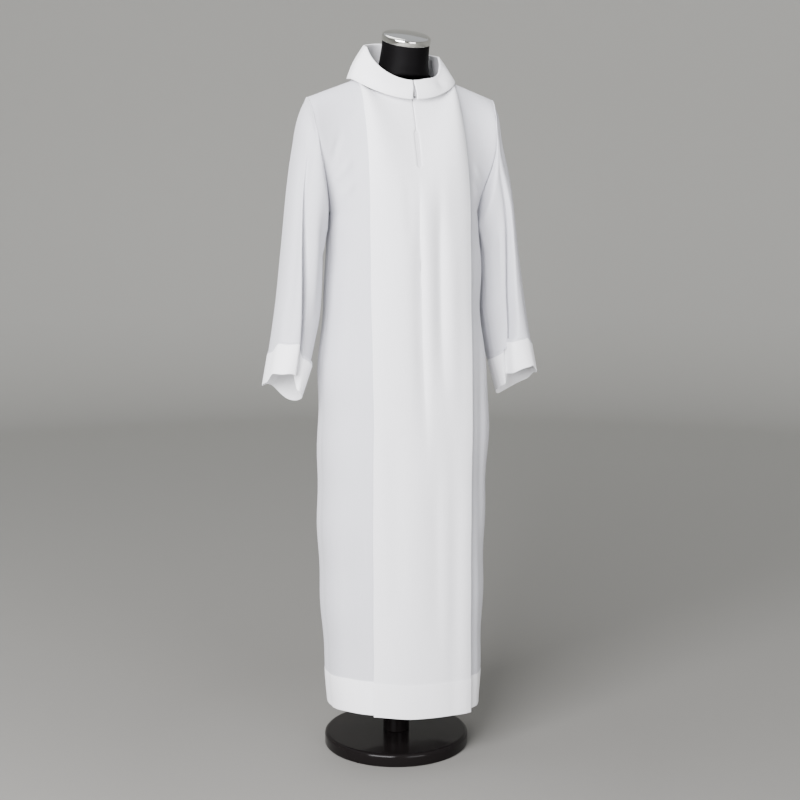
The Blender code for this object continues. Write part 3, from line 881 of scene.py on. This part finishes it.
def sleeve_ring(s, angle, side):
    """A place on the sleeve's own surface, before its head is drawn onto the armhole."""
    ring = read_row(SLEEVE, max(s, 0.0))
    shift = TURN_LEFT_CUFF * smooth((s - 6.0) / 3.0)
    if side < 0.0:
        shift = mix(TURN_RIGHT_TOP, TURN_RIGHT_CUFF, smooth(s / 7.0))
    off = off_angle(angle, ring.valley_at + shift)
    if off > 0.0:
        valley = ring.valley * exp(-(off / OVERLAP_SPREAD) ** 2)
    else:
        groove, set_back = exp(-(off / GROOVE_SPREAD) ** 2), exp(-(off / SET_BACK_SPREAD) ** 2)
        valley = ring.valley * mix(set_back, groove, GROOVE_SHARE)
    turn = radians(angle)
    outward = (1.0 + cos(turn)) / 2.0
    reach = read_row(INNER_REACH, max(s, 0.0))
    x = mix(ring.inner_x + (reach.left if side > 0.0 else reach.right), ring.outer_x, outward)
    z = mix(ring.inner_z, ring.outer_z, outward) - ring.tilt * sin(turn)
    z += cuff_lift(angle, off, side) * smooth((s - 5.0) / 3.0)
    depth = ring.depth * (1.0 - valley)
    crease = 0.0
    for fold in SLEEVE_FOLDS:
        along = (s - fold.start) / (fold.end - fold.start)
        if 0.0 < along < 1.0:
            off = off_angle(angle, fold.angle + fold.turn * along) / fold.spread
            crease += fold.depth * smooth(along / 0.3) * smooth((1.0 - along) / 0.3) * exp(-off * off)
    y = ring.y + (depth + crease * abs(sin(turn))) * sin(turn)
    x += crease * cos(turn)
    x -= NARROWER * outward * smooth(s / 1.5) * smooth((8.5 - s) / 5.0)
    if side > 0.0:
        boxy = BOXY * outward * exp(-((max(s, 0.0) - BOXY_AT) / BOXY_REACH) ** 2)
        x += SWING_LEFT * (s - SLEEVE_MIDDLE) / SLEEVE_MIDDLE * smooth(s) - boxy
    return Vector((side * x, y, z))


def sleeve_place(s, angle, side):
    """A place on the sleeve: s is -1 on the armhole, 0 at its head and 9 at the cuff."""
    place = sleeve_ring(s, angle, side)
    start = armhole_place(angle, side) - sleeve_ring(0.0, angle, side)
    return place + start * (1.0 - smooth((s + 1.0) / SET_IN))


def sleeve_normal(s, angle, side):
    near = max(s, -0.95)
    down = sleeve_place(near + 0.05, angle, side) - sleeve_place(near - 0.05, angle, side)
    across = sleeve_place(near, angle + 1.0, side) - sleeve_place(near, angle - 1.0, side)
    return (across.cross(down) * -side).normalized()


def sleeve_rows():
    rows = [-1.0, -0.96, -0.92, -0.88]
    rows += [mix(-0.84, 9.0, step / SLEEVE_ROWS) for step in range(SLEEVE_ROWS)]
    rows += [CUFF - 0.03, CUFF + 0.03, 8.96, 9.0]
    return sorted(set(rows))


def sleeve(name, side, material):
    """A sleeve with a welt beside its armhole seam and a turned cuff."""
    angles = [360.0 * step / SLEEVE_COLUMNS for step in range(SLEEVE_COLUMNS + 1)]
    grid, ply = [], []
    for s in sleeve_rows():
        step = HEM_STEP * smooth((s - CUFF) / 0.06 + 0.5)
        welt = WELT * exp(-((s - WELT_AT) / WELT_REACH) ** 2) - SEAM_DITCH * exp(-((s + 1.0) / 0.06) ** 2)
        row = []
        for angle in angles:
            seam = SEAM_DITCH * exp(-(off_angle(angle, 180.0) / 2.0) ** 2) * smooth(s + 1.0)
            lift = step + welt - seam
            row.append(sleeve_place(s, angle, side) + sleeve_normal(s, angle, side) * lift)
        grid.append(row)
        ply.append([1.0 if s > CUFF else 0.0] * len(angles))
    mesh = grid_mesh(name, grid, flip=side > 0, ply=ply)
    return cloth_piece(name, mesh, material, WALL)


for node, side in (("sleeve_right", -1.0), ("sleeve_left", 1.0)):
    piece = sleeve(node + "_cloth", side, robe_cloth)
    dress(piece, node, "robe_cloth")
print("sleeves made")

# %% Collar
COLLAR_ROLL = NeckRing(0.087, -0.100, -0.040, 0.040, 1.547, 1.620, 1.634)
COLLAR_EDGE = NeckRing(0.125, -0.112, -0.036, 0.076, 1.508, 1.5535, 1.568)
COLLAR_WALL = 0.0014
COLLAR_GAP_TOP = 0.0012
COLLAR_GAP_FOOT = 0.0046
COLLAR_STATIONS = 168
COLLAR_END = 6.0
COLLAR_LOWER = 0.017
COLLAR_FOOT_RISE = 0.0021
COLLAR_SIDE_RISE = 0.0050
COLLAR_FOOT_OUT = 0.0016
COLLAR_SWELL = 0.004
EDGE_LIE = 1.7
ROLL = 0.0030

Dent = namedtuple("Dent", "angle spread share depth")
COLLAR_DENTS = [
    Dent(42.0, 9.0, 0.45, -0.0042),
    Dent(-38.0, 12.0, 0.60, 0.0018),
    Dent(-75.0, 9.0, 0.50, -0.0028),
    Dent(84.0, 8.0, 0.40, -0.0024),
    Dent(128.0, 12.0, 0.55, -0.0030),
    Dent(-150.0, 14.0, 0.50, -0.0026),
]


def collar_path(angle):
    """One section of the collar, from its foot up inside, over the roll and down outside."""
    turn = radians(angle)
    foot = ring_place(NECK_SEAM, angle)
    top = ring_place(COLLAR_ROLL, angle)
    top.z -= COLLAR_LOWER * smooth((angle - 14.0) / 50.0) * smooth((190.0 - angle) / 60.0)
    edge = ring_place(COLLAR_EDGE, angle, lie=EDGE_LIE)
    out = Vector((sin(turn), -cos(turn), 0.0))
    rise = (top - foot).normalized()
    beside = smooth((cos(turn) + 0.4) / 0.4) * sin(turn) ** 2
    foot = foot + rise * (COLLAR_FOOT_RISE + beside * COLLAR_SIDE_RISE) + out * COLLAR_FOOT_OUT
    path = [foot.lerp(top - out * ROLL, step / 10) for step in range(10)]
    for step in range(7):
        swing = radians(mix(180.0, 0.0, step / 6))
        path.append(top + out * ROLL * cos(swing) + rise * ROLL * sin(swing))
    fall = top + out * ROLL
    for step in range(1, 15):
        share = step / 14
        dent = 0.0
        for item in COLLAR_DENTS:
            off = off_angle(angle, item.angle) / item.spread
            dent += item.depth * exp(-off * off) * exp(-((share - item.share) / 0.35) ** 2)
        path.append(fall.lerp(edge, share) + out * (COLLAR_SWELL * sin(pi * share) + dent))
    end = min(angle, 360.0 - angle)
    side = 1.0 if angle < 180.0 else -1.0
    near = 1.0 - smooth(end / COLLAR_END)
    for point in path:
        low = (top.z - point.z) / (top.z - foot.z)
        point.x += side * near * mix(COLLAR_GAP_TOP, COLLAR_GAP_FOOT, smooth(low))
    return path


def smooth_end(share):
    """Even steps, a little closer together at both ends of the collar."""
    return share - 0.02 * sin(2.0 * pi * share) / pi


def collar(material):
    stations = [360.0 * smooth_end(step / COLLAR_STATIONS) for step in range(COLLAR_STATIONS + 1)]
    grid = [collar_path(angle) for angle in stations]
    ply = [[1.0] * len(grid[0]) for _ in grid]
    return cloth_piece("collar_cloth", grid_mesh("collar_cloth", grid, ply=ply), material, COLLAR_WALL)


collar_piece = collar(robe_cloth)
dress(collar_piece, "collar", "robe_cloth")
print("collar:", len(collar_piece.data.polygons), "faces before its wall")

# %% [markdown]
# ## The dress form and its stand
#
# The form is smooth and limbless, with a turned neck that leans forward and a domed chrome cap.
# It stands on a thick pole and a round base with a well rounded edge, both glossy black.

# %% Form
Torso = namedtuple("Torso", "height half_width centre half_depth lean")
TORSO = [
    Torso(1.6345, 0.0525, -0.0590, 0.0540, 18),
    Torso(1.6080, 0.0530, -0.0520, 0.0560, 14),
    Torso(1.5800, 0.0560, -0.0440, 0.0585, 9),
    Torso(1.5620, 0.0640, -0.0380, 0.0560, 4),
    Torso(1.5499, 0.1085, -0.0360, 0.0120, 0),
    Torso(1.5404, 0.1365, -0.0360, 0.0180, 0),
    Torso(1.5193, 0.1990, -0.0350, 0.0240, 0),
    Torso(1.5000, 0.2050, -0.0350, 0.0440, 0),
    Torso(1.4500, 0.1980, -0.0360, 0.0700, 0),
    Torso(1.3800, 0.1780, -0.0370, 0.0860, 0),
    Torso(1.2900, 0.1580, -0.0380, 0.0960, 0),
    Torso(1.2000, 0.1480, -0.0380, 0.0950, 0),
    Torso(1.0600, 0.1260, -0.0340, 0.0820, 0),
    Torso(0.9500, 0.1480, -0.0320, 0.0960, 0),
    Torso(0.8600, 0.1600, -0.0300, 0.1040, 0),
    Torso(0.8150, 0.1560, -0.0300, 0.1000, 0),
    Torso(0.8000, 0.1450, -0.0300, 0.0900, 0),
]
TORSO_ROWS = 96
TORSO_COLUMNS = 72
TORSO_SHARP = 50


def torso_ring(row):
    ring = []
    for step in range(TORSO_COLUMNS):
        turn = 2.0 * pi * step / TORSO_COLUMNS
        forward = row.half_depth * cos(turn)
        y = row.centre - forward * cos(radians(row.lean))
        z = row.height - forward * sin(radians(row.lean))
        ring.append(Vector((row.half_width * sin(turn), y, z)))
    return ring


def torso(material):
    built = bmesh.new()
    last = len(TORSO) - 1
    rings = [torso_ring(read_row(TORSO, last * step / TORSO_ROWS)) for step in range(TORSO_ROWS + 1)]
    loops = [[built.verts.new(point) for point in ring] for ring in rings]
    for upper, lower in zip(loops, loops[1:]):
        for c in range(TORSO_COLUMNS):
            n = (c + 1) % TORSO_COLUMNS
            built.faces.new((upper[c], lower[c], lower[n], upper[n]))
    for loop, order in ((loops[0], 1), (loops[-1], -1)):
        rim = loop[::order]
        centre = built.verts.new(sum((vert.co for vert in rim), Vector()) / len(rim))
        for a, b in zip(rim, rim[1:] + rim[:1]):
            built.faces.new((a, b, centre))
    bmesh.ops.recalc_face_normals(built, faces=built.faces)
    mesh = mesh_from(built, "form_body")
    mesh.shade_smooth()
    mesh.set_sharp_from_angle(angle=radians(TORSO_SHARP))
    return finished("form_body", mesh, material)


form = torso(cover)
dress(form, "form_torso", "form_cover")
print("form:", len(form.data.polygons), "faces")

# %% Turned pieces
BASE_RADIUS = 0.171
BASE_HEIGHT = 0.030
BASE_ROUND = 0.009
POLE_RADIUS = 0.031
GAP = 0.0003
CAP_RADIUS = 0.0545
CAP_HEIGHT = 0.019
CAP_ROUND = 0.007
MERGE = 0.00001
TURNED_SHARP = 40


def arc(centre_r, centre_z, radius, start, end, steps):
    """Points of a profile round an arc; 0 degrees points up and 90 outward."""
    turns = [radians(mix(start, end, step / steps)) for step in range(steps + 1)]
    return [(centre_r + radius * sin(turn), centre_z + radius * cos(turn)) for turn in turns]


def turned(name, profile, steps, material):
    built = bmesh.new()
    verts = [built.verts.new((radius, 0.0, height)) for radius, height in profile]
    for upper, lower in zip(verts, verts[1:]):
        built.edges.new((upper, lower))
    piece = finished(name, mesh_from(built, name), material)
    screw = piece.modifiers.new("Turn", "SCREW")
    screw.steps = steps
    screw.render_steps = steps
    screw.use_merge_vertices = True
    screw.merge_threshold = MERGE
    screw.use_smooth_shade = True
    return make_plain(piece)


def make_plain(piece):
    """The evaluated mesh in place of the modifiers, with normals outward and sharp rims kept."""
    result = take_modifiers(piece)
    built = bmesh.new()
    built.from_mesh(result)
    bmesh.ops.recalc_face_normals(built, faces=built.faces)
    built.to_mesh(result)
    built.free()
    result.set_sharp_from_angle(angle=radians(TURNED_SHARP))
    return piece


# %% Base, pole and cap
def base_disk(material):
    low_round = 0.003
    rim = arc(BASE_RADIUS - BASE_ROUND, BASE_HEIGHT - BASE_ROUND, BASE_ROUND, 0.0, 90.0, 14)
    foot = arc(BASE_RADIUS - low_round, low_round, low_round, 90.0, 180.0, 6)
    profile = [(0.0, BASE_HEIGHT)] + rim + foot + [(0.0, 0.0)]
    return turned("stand_base", profile, 160, material)


def pole(material):
    low, high = BASE_HEIGHT + GAP, TORSO[-1].height - GAP
    edge = 0.0012
    top = arc(POLE_RADIUS - edge, high - edge, edge, 0.0, 90.0, 4)
    foot = arc(POLE_RADIUS - edge, low + edge, edge, 90.0, 180.0, 4)
    return turned("stand_pole", [(0.0, high)] + top + foot + [(0.0, low)], 96, material)


def neck_cap(material):
    """A shallow dome with a wide rounded edge, square to the leaning neck."""
    dome = 0.0035
    flat = CAP_RADIUS - CAP_ROUND
    rise = [(flat * step / 12, CAP_HEIGHT - dome * (step / 12) ** 2) for step in range(12)]
    rim = arc(flat, CAP_HEIGHT - dome - CAP_ROUND, CAP_ROUND, 8.0, 90.0, 12)
    foot = arc(CAP_RADIUS - 0.001, 0.001, 0.001, 90.0, 180.0, 4)
    piece = turned("form_cap", rise + rim + foot + [(0.0, 0.0)], 128, material)
    neck = TORSO[0]
    lean = radians(neck.lean)
    up = Vector((0.0, -sin(lean), cos(lean)))
    place = Matrix.Translation(Vector((0.0, neck.centre, neck.height)) + up * GAP)
    piece.data.transform(place @ Matrix.Rotation(lean, 4, "X"))
    return piece


for piece, node, slot in (
    (base_disk(gloss), "base_disk", "stand_gloss"),
    (pole(gloss), "pole", "stand_gloss"),
    (neck_cap(chrome), "neck_cap", "neck_cap"),
):
    dress(piece, node, slot)
    print(piece.name, len(piece.data.polygons), "faces")

# %% [markdown]
# ## The zip
#
# Two tapes lie behind the slit, edge to edge, with the coil's teeth behind them. The teeth are
# one small shape set along each tape's edge by Geometry Nodes, half a pitch apart on the two
# sides so that they mesh.

# %% Zip tapes
ZIP_TAPE = 0.013
TAPE_WALL = 0.0008
SOLID_WALL = 0.0012
TAPE_TOP_ROW = 0.03
TAPE_BELOW_ZIP = 0.012


def tape_lift(v):
    """How far out the tapes lie, just behind the wall of the solid panel."""
    return pleat_lift(v) - SOLID_WALL - 1.5 * GAP


def zip_tape_piece(name, side, material):
    end = zip_row(ZIP_END - TAPE_BELOW_ZIP)
    rows = [mix(TAPE_TOP_ROW, end, step / 60) for step in range(61)]
    reach = [0.0001] + [mix(0.0006, ZIP_TAPE, step / 8) for step in range(9)]
    grid = []
    for v in rows:
        grid.append([lifted_place(side * across_panel(x), v, tape_lift(v)) for x in reach])
    return cloth_piece(name, grid_mesh(name, grid, flip=side > 0), material, TAPE_WALL)


for node, side in (("zip_tape_right", -1.0), ("zip_tape_left", 1.0)):
    dress(zip_tape_piece(node + "_cloth", side, zip_tape), node, "zip_tape")
print("zip tapes made")

# %% [markdown]
# ## Sewing by Geometry Nodes
#
# One node tree sets a small shape at even steps along a line: stitches on the hem, cuffs and
# collar and beside the zip's slit, and teeth on the zip. Its inputs are the pitch, the shape's
# length, width and height, and the material.

# %% The tree that sets a shape along a line
def along_line_tree():
    tree = bpy.data.node_groups.new("Set along a line", "GeometryNodeTree")
    face = tree.interface
    face.new_socket("Geometry", in_out="INPUT", socket_type="NodeSocketGeometry")
    for name in ("Pitch", "Length", "Width", "Height"):
        face.new_socket(name, in_out="INPUT", socket_type="NodeSocketFloat")
    face.new_socket("Finish", in_out="INPUT", socket_type="NodeSocketMaterial")
    face.new_socket("Geometry", in_out="OUTPUT", socket_type="NodeSocketGeometry")
    start = add_node(tree, "NodeGroupInput")
    end = add_node(tree, "NodeGroupOutput")
    line = add_node(tree, "GeometryNodeMeshToCurve")
    steps = add_node(tree, "GeometryNodeResampleCurve", mode="LENGTH")
    shape = add_node(tree, "GeometryNodeMeshUVSphere")
    set_inputs(shape, Segments=6, Rings=4, Radius=0.5)
    size = add_node(tree, "ShaderNodeCombineXYZ")
    normal = add_node(tree, "GeometryNodeInputNamedAttribute", data_type="FLOAT_VECTOR")
    normal.inputs["Name"].default_value = "out"
    tangent = add_node(tree, "GeometryNodeInputTangent")
    place = add_node(tree, "GeometryNodeInstanceOnPoints")
    lay_z = add_node(tree, "FunctionNodeAlignRotationToVector", axis="Z")
    lay_x = add_node(tree, "FunctionNodeAlignRotationToVector", axis="X", pivot_axis="Z")
    real = add_node(tree, "GeometryNodeRealizeInstances")
    finish = add_node(tree, "GeometryNodeSetMaterial")
    link = tree.links.new
    link(start.outputs["Geometry"], line.inputs["Mesh"])
    link(line.outputs["Curve"], steps.inputs["Curve"])
    link(start.outputs["Pitch"], steps.inputs["Length"])
    link(steps.outputs["Curve"], place.inputs["Points"])
    link(shape.outputs["Mesh"], place.inputs["Instance"])
    link(normal.outputs["Attribute"], lay_z.inputs["Vector"])
    link(lay_z.outputs["Rotation"], lay_x.inputs["Rotation"])
    link(tangent.outputs["Tangent"], lay_x.inputs["Vector"])
    link(lay_x.outputs["Rotation"], place.inputs["Rotation"])
    link(start.outputs["Length"], size.inputs["X"])
    link(start.outputs["Width"], size.inputs["Y"])
    link(start.outputs["Height"], size.inputs["Z"])
    link(size.outputs["Vector"], place.inputs["Scale"])
    link(place.outputs["Instances"], real.inputs["Geometry"])
    link(real.outputs["Geometry"], finish.inputs["Geometry"])
    link(start.outputs["Finish"], finish.inputs["Material"])
    link(finish.outputs["Geometry"], end.inputs["Geometry"])
    return tree


ALONG_LINE = along_line_tree()
print("node tree:", ALONG_LINE.name, len(ALONG_LINE.nodes), "nodes")


# %% Setting stitches and teeth along lines
Sewing = namedtuple("Sewing", "pitch length width height")
TOPSTITCH = Sewing(0.0034, 0.0029, 0.0007, 0.0005)
TEETH = Sewing(0.0016, 0.0008, 0.0026, 0.0012)


def along_lines(name, lines, sewing, material):
    """One piece with a shape set along each line of (place, outward direction) pairs."""
    built = bmesh.new()
    directions = []
    for line in lines:
        verts = [built.verts.new(place) for place, _ in line]
        directions += [out for _, out in line]
        for a, b in zip(verts, verts[1:]):
            built.edges.new((a, b))
    mesh = mesh_from(built, name)
    layer = mesh.attributes.new("out", "FLOAT_VECTOR", "POINT")
    layer.data.foreach_set("vector", [value for out in directions for value in out])
    piece = into_scene(bpy.data.objects.new(name, mesh))
    nodes = piece.modifiers.new("Sewing", "NODES")
    nodes.node_group = ALONG_LINE
    values = dict(zip(("Pitch", "Length", "Width", "Height"), sewing), Finish=material)
    for item in ALONG_LINE.interface.items_tree:
        if item.in_out == "INPUT" and item.name in values:
            nodes[item.identifier] = values[item.name]
    result = take_modifiers(piece)
    result.shade_smooth()
    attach(piece, "root")
    print(name, len(result.polygons), "faces")
    return piece


# %% Stitch lines
STITCH_CLEAR = 0.012
PANEL_STITCH_END = 0.498
SEAM_STITCH_END = 0.998
COLLAR_STITCH = 0.005
CUFF_STITCH = CUFF + 0.05
HEM_STITCH = HEM_TOP + 0.0030


def on_cloth(q, v, lift, back=False):
    """A place on the cloth, and the direction that points out of it there."""
    base = lifted_place(q, v, lift, back)
    return base, (lifted_place(q, v, lift + 0.001, back) - base).normalized()


def hem_line(v):
    """Lines round the robe at one row: the two side fronts, the panel and the back."""
    inner = PANEL_EDGE * (1.0 + STITCH_CLEAR)
    lines = []
    for side in (-1.0, 1.0):
        qs = [mix(inner, SEAM_STITCH_END, step / 40) for step in range(41)]
        lines.append([on_cloth(side * q, v, HEM_STEP) for q in qs])
    lift = pleat_lift(v) + HEM_STEP
    qs = [mix(-PANEL_STITCH_END, PANEL_STITCH_END, step / 90) for step in range(91)]
    drop = Vector((0.0, 0.0, -PANEL_DROP * smooth(v - 1.0)))
    places = [on_cloth(q, v, lift + proud_lift(q, v)) for q in qs]
    lines.append([(place + drop, out) for place, out in places])
    back_qs = [mix(-SEAM_STITCH_END, SEAM_STITCH_END, step / 120) for step in range(121)]
    lines.append([on_cloth(q, v, HEM_STEP, back=True) for q in back_qs])
    return lines


def cuff_line(s, side):
    line = []
    for step in range(145):
        angle = 360.0 * step / 144
        out = sleeve_normal(s, angle, side)
        line.append((sleeve_place(s, angle, side) + out * HEM_STEP, out))
    return line


def collar_lines(from_edge):
    """A row of stitches on the collar's fall, a little above its free edge."""
    line = []
    for step in range(181):
        angle = mix(2.0, 358.0, step / 180)
        path = collar_path(angle)
        fall = (path[-1] - path[-2]).normalized()
        out = Vector((sin(radians(angle)), -cos(radians(angle)), 0.25)).normalized()
        out = (out - fall * out.dot(fall)).normalized()
        line.append((path[-1] - fall * from_edge + out * 0.0001, out))
    return [line]


stitches = along_lines("hem_stitches", hem_line(HEM_STITCH), TOPSTITCH, thread)
for side, name in ((-1.0, "cuff_stitches_right"), (1.0, "cuff_stitches_left")):
    piece = along_lines(name, [cuff_line(CUFF_STITCH, side)], TOPSTITCH, thread)
piece = along_lines("collar_stitches", collar_lines(COLLAR_STITCH), TOPSTITCH, thread)


# %% Zip stitches and teeth
ZIP_STITCH_OUT = 0.006
ZIP_STITCH_TOP = 1.500
ZIP_STITCH_FOOT = 1.357
TEETH_TOP_ROW = 0.06
TEETH_BELOW_ZIP = 0.008
TEETH_OUT = 0.0007
TEETH_BEHIND = 0.0006
# Each side's teeth are moved by a quarter of a pitch, in rows, so that the two sides mesh
TEETH_SHIFT = 0.0016


def slit_line(side, out_from_edge, top, foot):
    """A line beside the slit, as far out from its edge everywhere."""
    line = []
    for step in range(61):
        z = mix(top, foot, step / 60)
        q = side * across_panel(slit_half_width(z, STITCH_EASE) + out_from_edge)
        v = zip_row(z)
        line.append(on_cloth(q, v, pleat_lift(v)))
    return line


def teeth_line(side):
    line = []
    for step in range(81):
        v = mix(TEETH_TOP_ROW, zip_row(ZIP_END - TEETH_BELOW_ZIP), step / 80) + side * TEETH_SHIFT
        lift = tape_lift(v) - TAPE_WALL - TEETH_BEHIND
        line.append(on_cloth(side * across_panel(TEETH_OUT), v, lift))
    return line


beside_slit = [slit_line(side, ZIP_STITCH_OUT, ZIP_STITCH_TOP, ZIP_STITCH_FOOT) for side in (-1.0, 1.0)]
piece = along_lines("zip_stitches", beside_slit, TOPSTITCH, thread)
piece = along_lines("zip_coil", [teeth_line(-1.0), teeth_line(1.0)], TEETH, teeth)

# %% [markdown]
# ## What each piece was cut from
#
# A sheet's width and length are the flat cloth it takes, in metres, for as much of it as is built
# here. Tubes are measured all round.

# %% Sheets
Cut = namedtuple("Cut", "piece width length held")
CUTS = [
    Cut("front_panel_cloth", 0.300, 1.400, "hung"),
    Cut("front_side_right_cloth", 0.190, 1.400, "hung"),
    Cut("front_side_left_cloth", 0.190, 1.400, "hung"),
    Cut("back_cloth", 0.520, 1.440, "hung"),
    Cut("sleeve_right_cloth", 0.430, 0.560, "hung"),
    Cut("sleeve_left_cloth", 0.430, 0.560, "hung"),
    Cut("collar_cloth", 0.660, 0.130, "folded"),
]

for cut in CUTS:
    piece = bpy.data.objects[cut.piece]
    real = sum(face.area for face in piece.data.polygons)
    print(cut.piece, "one side of the cloth:", round(real, 3), "square metres")

# %% [markdown]
# ## Studio
#
# A plain pale floor curves up into a plain wall all round, so that every view has the same
# backdrop. Its colour is darkest near the object and paler farther off and higher up: painted
# shade near the object and painted light far off, standing in for how the light falls on it. The
# light is soft: a broad key to the left of the camera and a little above it, a weaker fill behind
# the camera on its right, and a weak light from above.

# %% Backdrop
FLOOR_RADIUS = 4.6
BOWL_RADIUS = 1.8
WALL_HEIGHT = 6.0
# The backdrop's two colours: the dark one near the object is painted shade, and the pale one far off and
# high up is painted light.
NEAR_SHADED_PAINT = (0.190, 0.187, 0.174, 1.0)
FAR_LIT_PAINT = (0.455, 0.452, 0.424, 1.0)
PAINTED_SHADE_NEAR = 0.6
PAINTED_LIGHT_FAR = 6.2
PAINTED_LIGHT_BY_HEIGHT = 0.8
BELOW_BASE = 0.0005


def backdrop():
    material, tree, shader = new_material("backdrop_grey")
    place = add_node(tree, "ShaderNodeTexCoord")
    parts = add_node(tree, "ShaderNodeSeparateXYZ")
    far = add_node(tree, "ShaderNodeVectorMath", operation="LENGTH")
    total = add_node(tree, "ShaderNodeMath", operation="MULTIPLY_ADD")
    total.inputs[1].default_value = PAINTED_LIGHT_BY_HEIGHT
    rise = set_inputs(add_node(tree, "ShaderNodeMapRange"), From_Min=PAINTED_SHADE_NEAR, From_Max=PAINTED_LIGHT_FAR)
    # The mix from the dark near colour to the pale far one is painted shade and painted light.
    paint = add_node(tree, "ShaderNodeMix", data_type="RGBA")
    paint.inputs["A"].default_value = NEAR_SHADED_PAINT
    paint.inputs["B"].default_value = FAR_LIT_PAINT
    tree.links.new(place.outputs["Object"], parts.inputs["Vector"])
    tree.links.new(place.outputs["Object"], far.inputs["Vector"])
    tree.links.new(parts.outputs["Z"], total.inputs[0])
    tree.links.new(far.outputs["Value"], total.inputs[2])
    tree.links.new(total.outputs["Value"], rise.inputs["Value"])
    tree.links.new(rise.outputs["Result"], paint.inputs["Factor"])
    tree.links.new(paint.outputs["Result"], shader.inputs["Base Color"])
    shader.inputs["Roughness"].default_value = 0.9
    shader.inputs["Specular IOR Level"].default_value = 0.1
    curve = arc(FLOOR_RADIUS, BOWL_RADIUS, BOWL_RADIUS, 180.0, 90.0, 16)
    profile = [(0.0, 0.0)] + curve + [(FLOOR_RADIUS + BOWL_RADIUS, WALL_HEIGHT)]
    studio = turned("studio_backdrop", profile, 96, material)
    studio.location.z = -BELOW_BASE
    return studio


floor = backdrop()
print("backdrop:", floor.name)


# %% Lights and camera
def area_light(name, place, target, size, power, colour):
    data = bpy.data.lights.new(name, "AREA")
    data.shape = "RECTANGLE"
    data.size, data.size_y = size
    data.energy = power
    data.color = colour
    lamp = bpy.data.objects.new(name, data)
    lamp.location = place
    lamp.rotation_euler = (Vector(target) - Vector(place)).to_track_quat("-Z", "Y").to_euler()
    into_scene(lamp)


COOL = (0.98, 0.97, 1.0)
WARM = (1.0, 0.99, 0.98)
ROBE_MIDDLE = (0.0, 0.0, 0.9)
CHEST = (0.0, 0.0, 1.2)
area_light("key", (-2.4, -2.3, 2.2), ROBE_MIDDLE, (2.4, 2.4), 470.0, COOL)
area_light("fill", (0.7, -4.6, 1.5), ROBE_MIDDLE, (2.2, 2.6), 130.0, COOL)
area_light("top", (-0.6, 0.6, 3.9), CHEST, (1.8, 1.8), 40.0, WARM)

world = bpy.data.worlds.new("studio")
world.use_nodes = True
sky = world.node_tree.nodes["Background"]
sky.inputs["Color"].default_value = (0.93, 0.95, 1.0, 1.0)
sky.inputs["Strength"].default_value = 0.64
bpy.context.scene.world = world

CAMERA_SIDE = 22.0
CAMERA_DISTANCE = 3.48
CAMERA_HEIGHT = 1.37
CAMERA_TILT = 8.87
LENS = 68.27
SENSOR = 36.0
# In the photograph's pixels: how far the camera aims beside the middle, and its focal length
AIM_BESIDE = 4.0
FOCAL_LENGTH = 1517.0
AIM_SHIFT = degrees(atan(AIM_BESIDE / FOCAL_LENGTH))

turn = radians(CAMERA_SIDE)
view = bpy.data.cameras.new("photo_view")
view.lens = LENS
view.sensor_width = SENSOR
camera = into_scene(bpy.data.objects.new("photo_view", view))
camera.location = (-sin(turn) * CAMERA_DISTANCE, -cos(turn) * CAMERA_DISTANCE, CAMERA_HEIGHT)
camera.rotation_euler = (radians(90.0 - CAMERA_TILT), 0.0, radians(-CAMERA_SIDE - AIM_SHIFT))
bpy.context.scene.camera = camera
print("camera at", [round(value, 3) for value in camera.location])
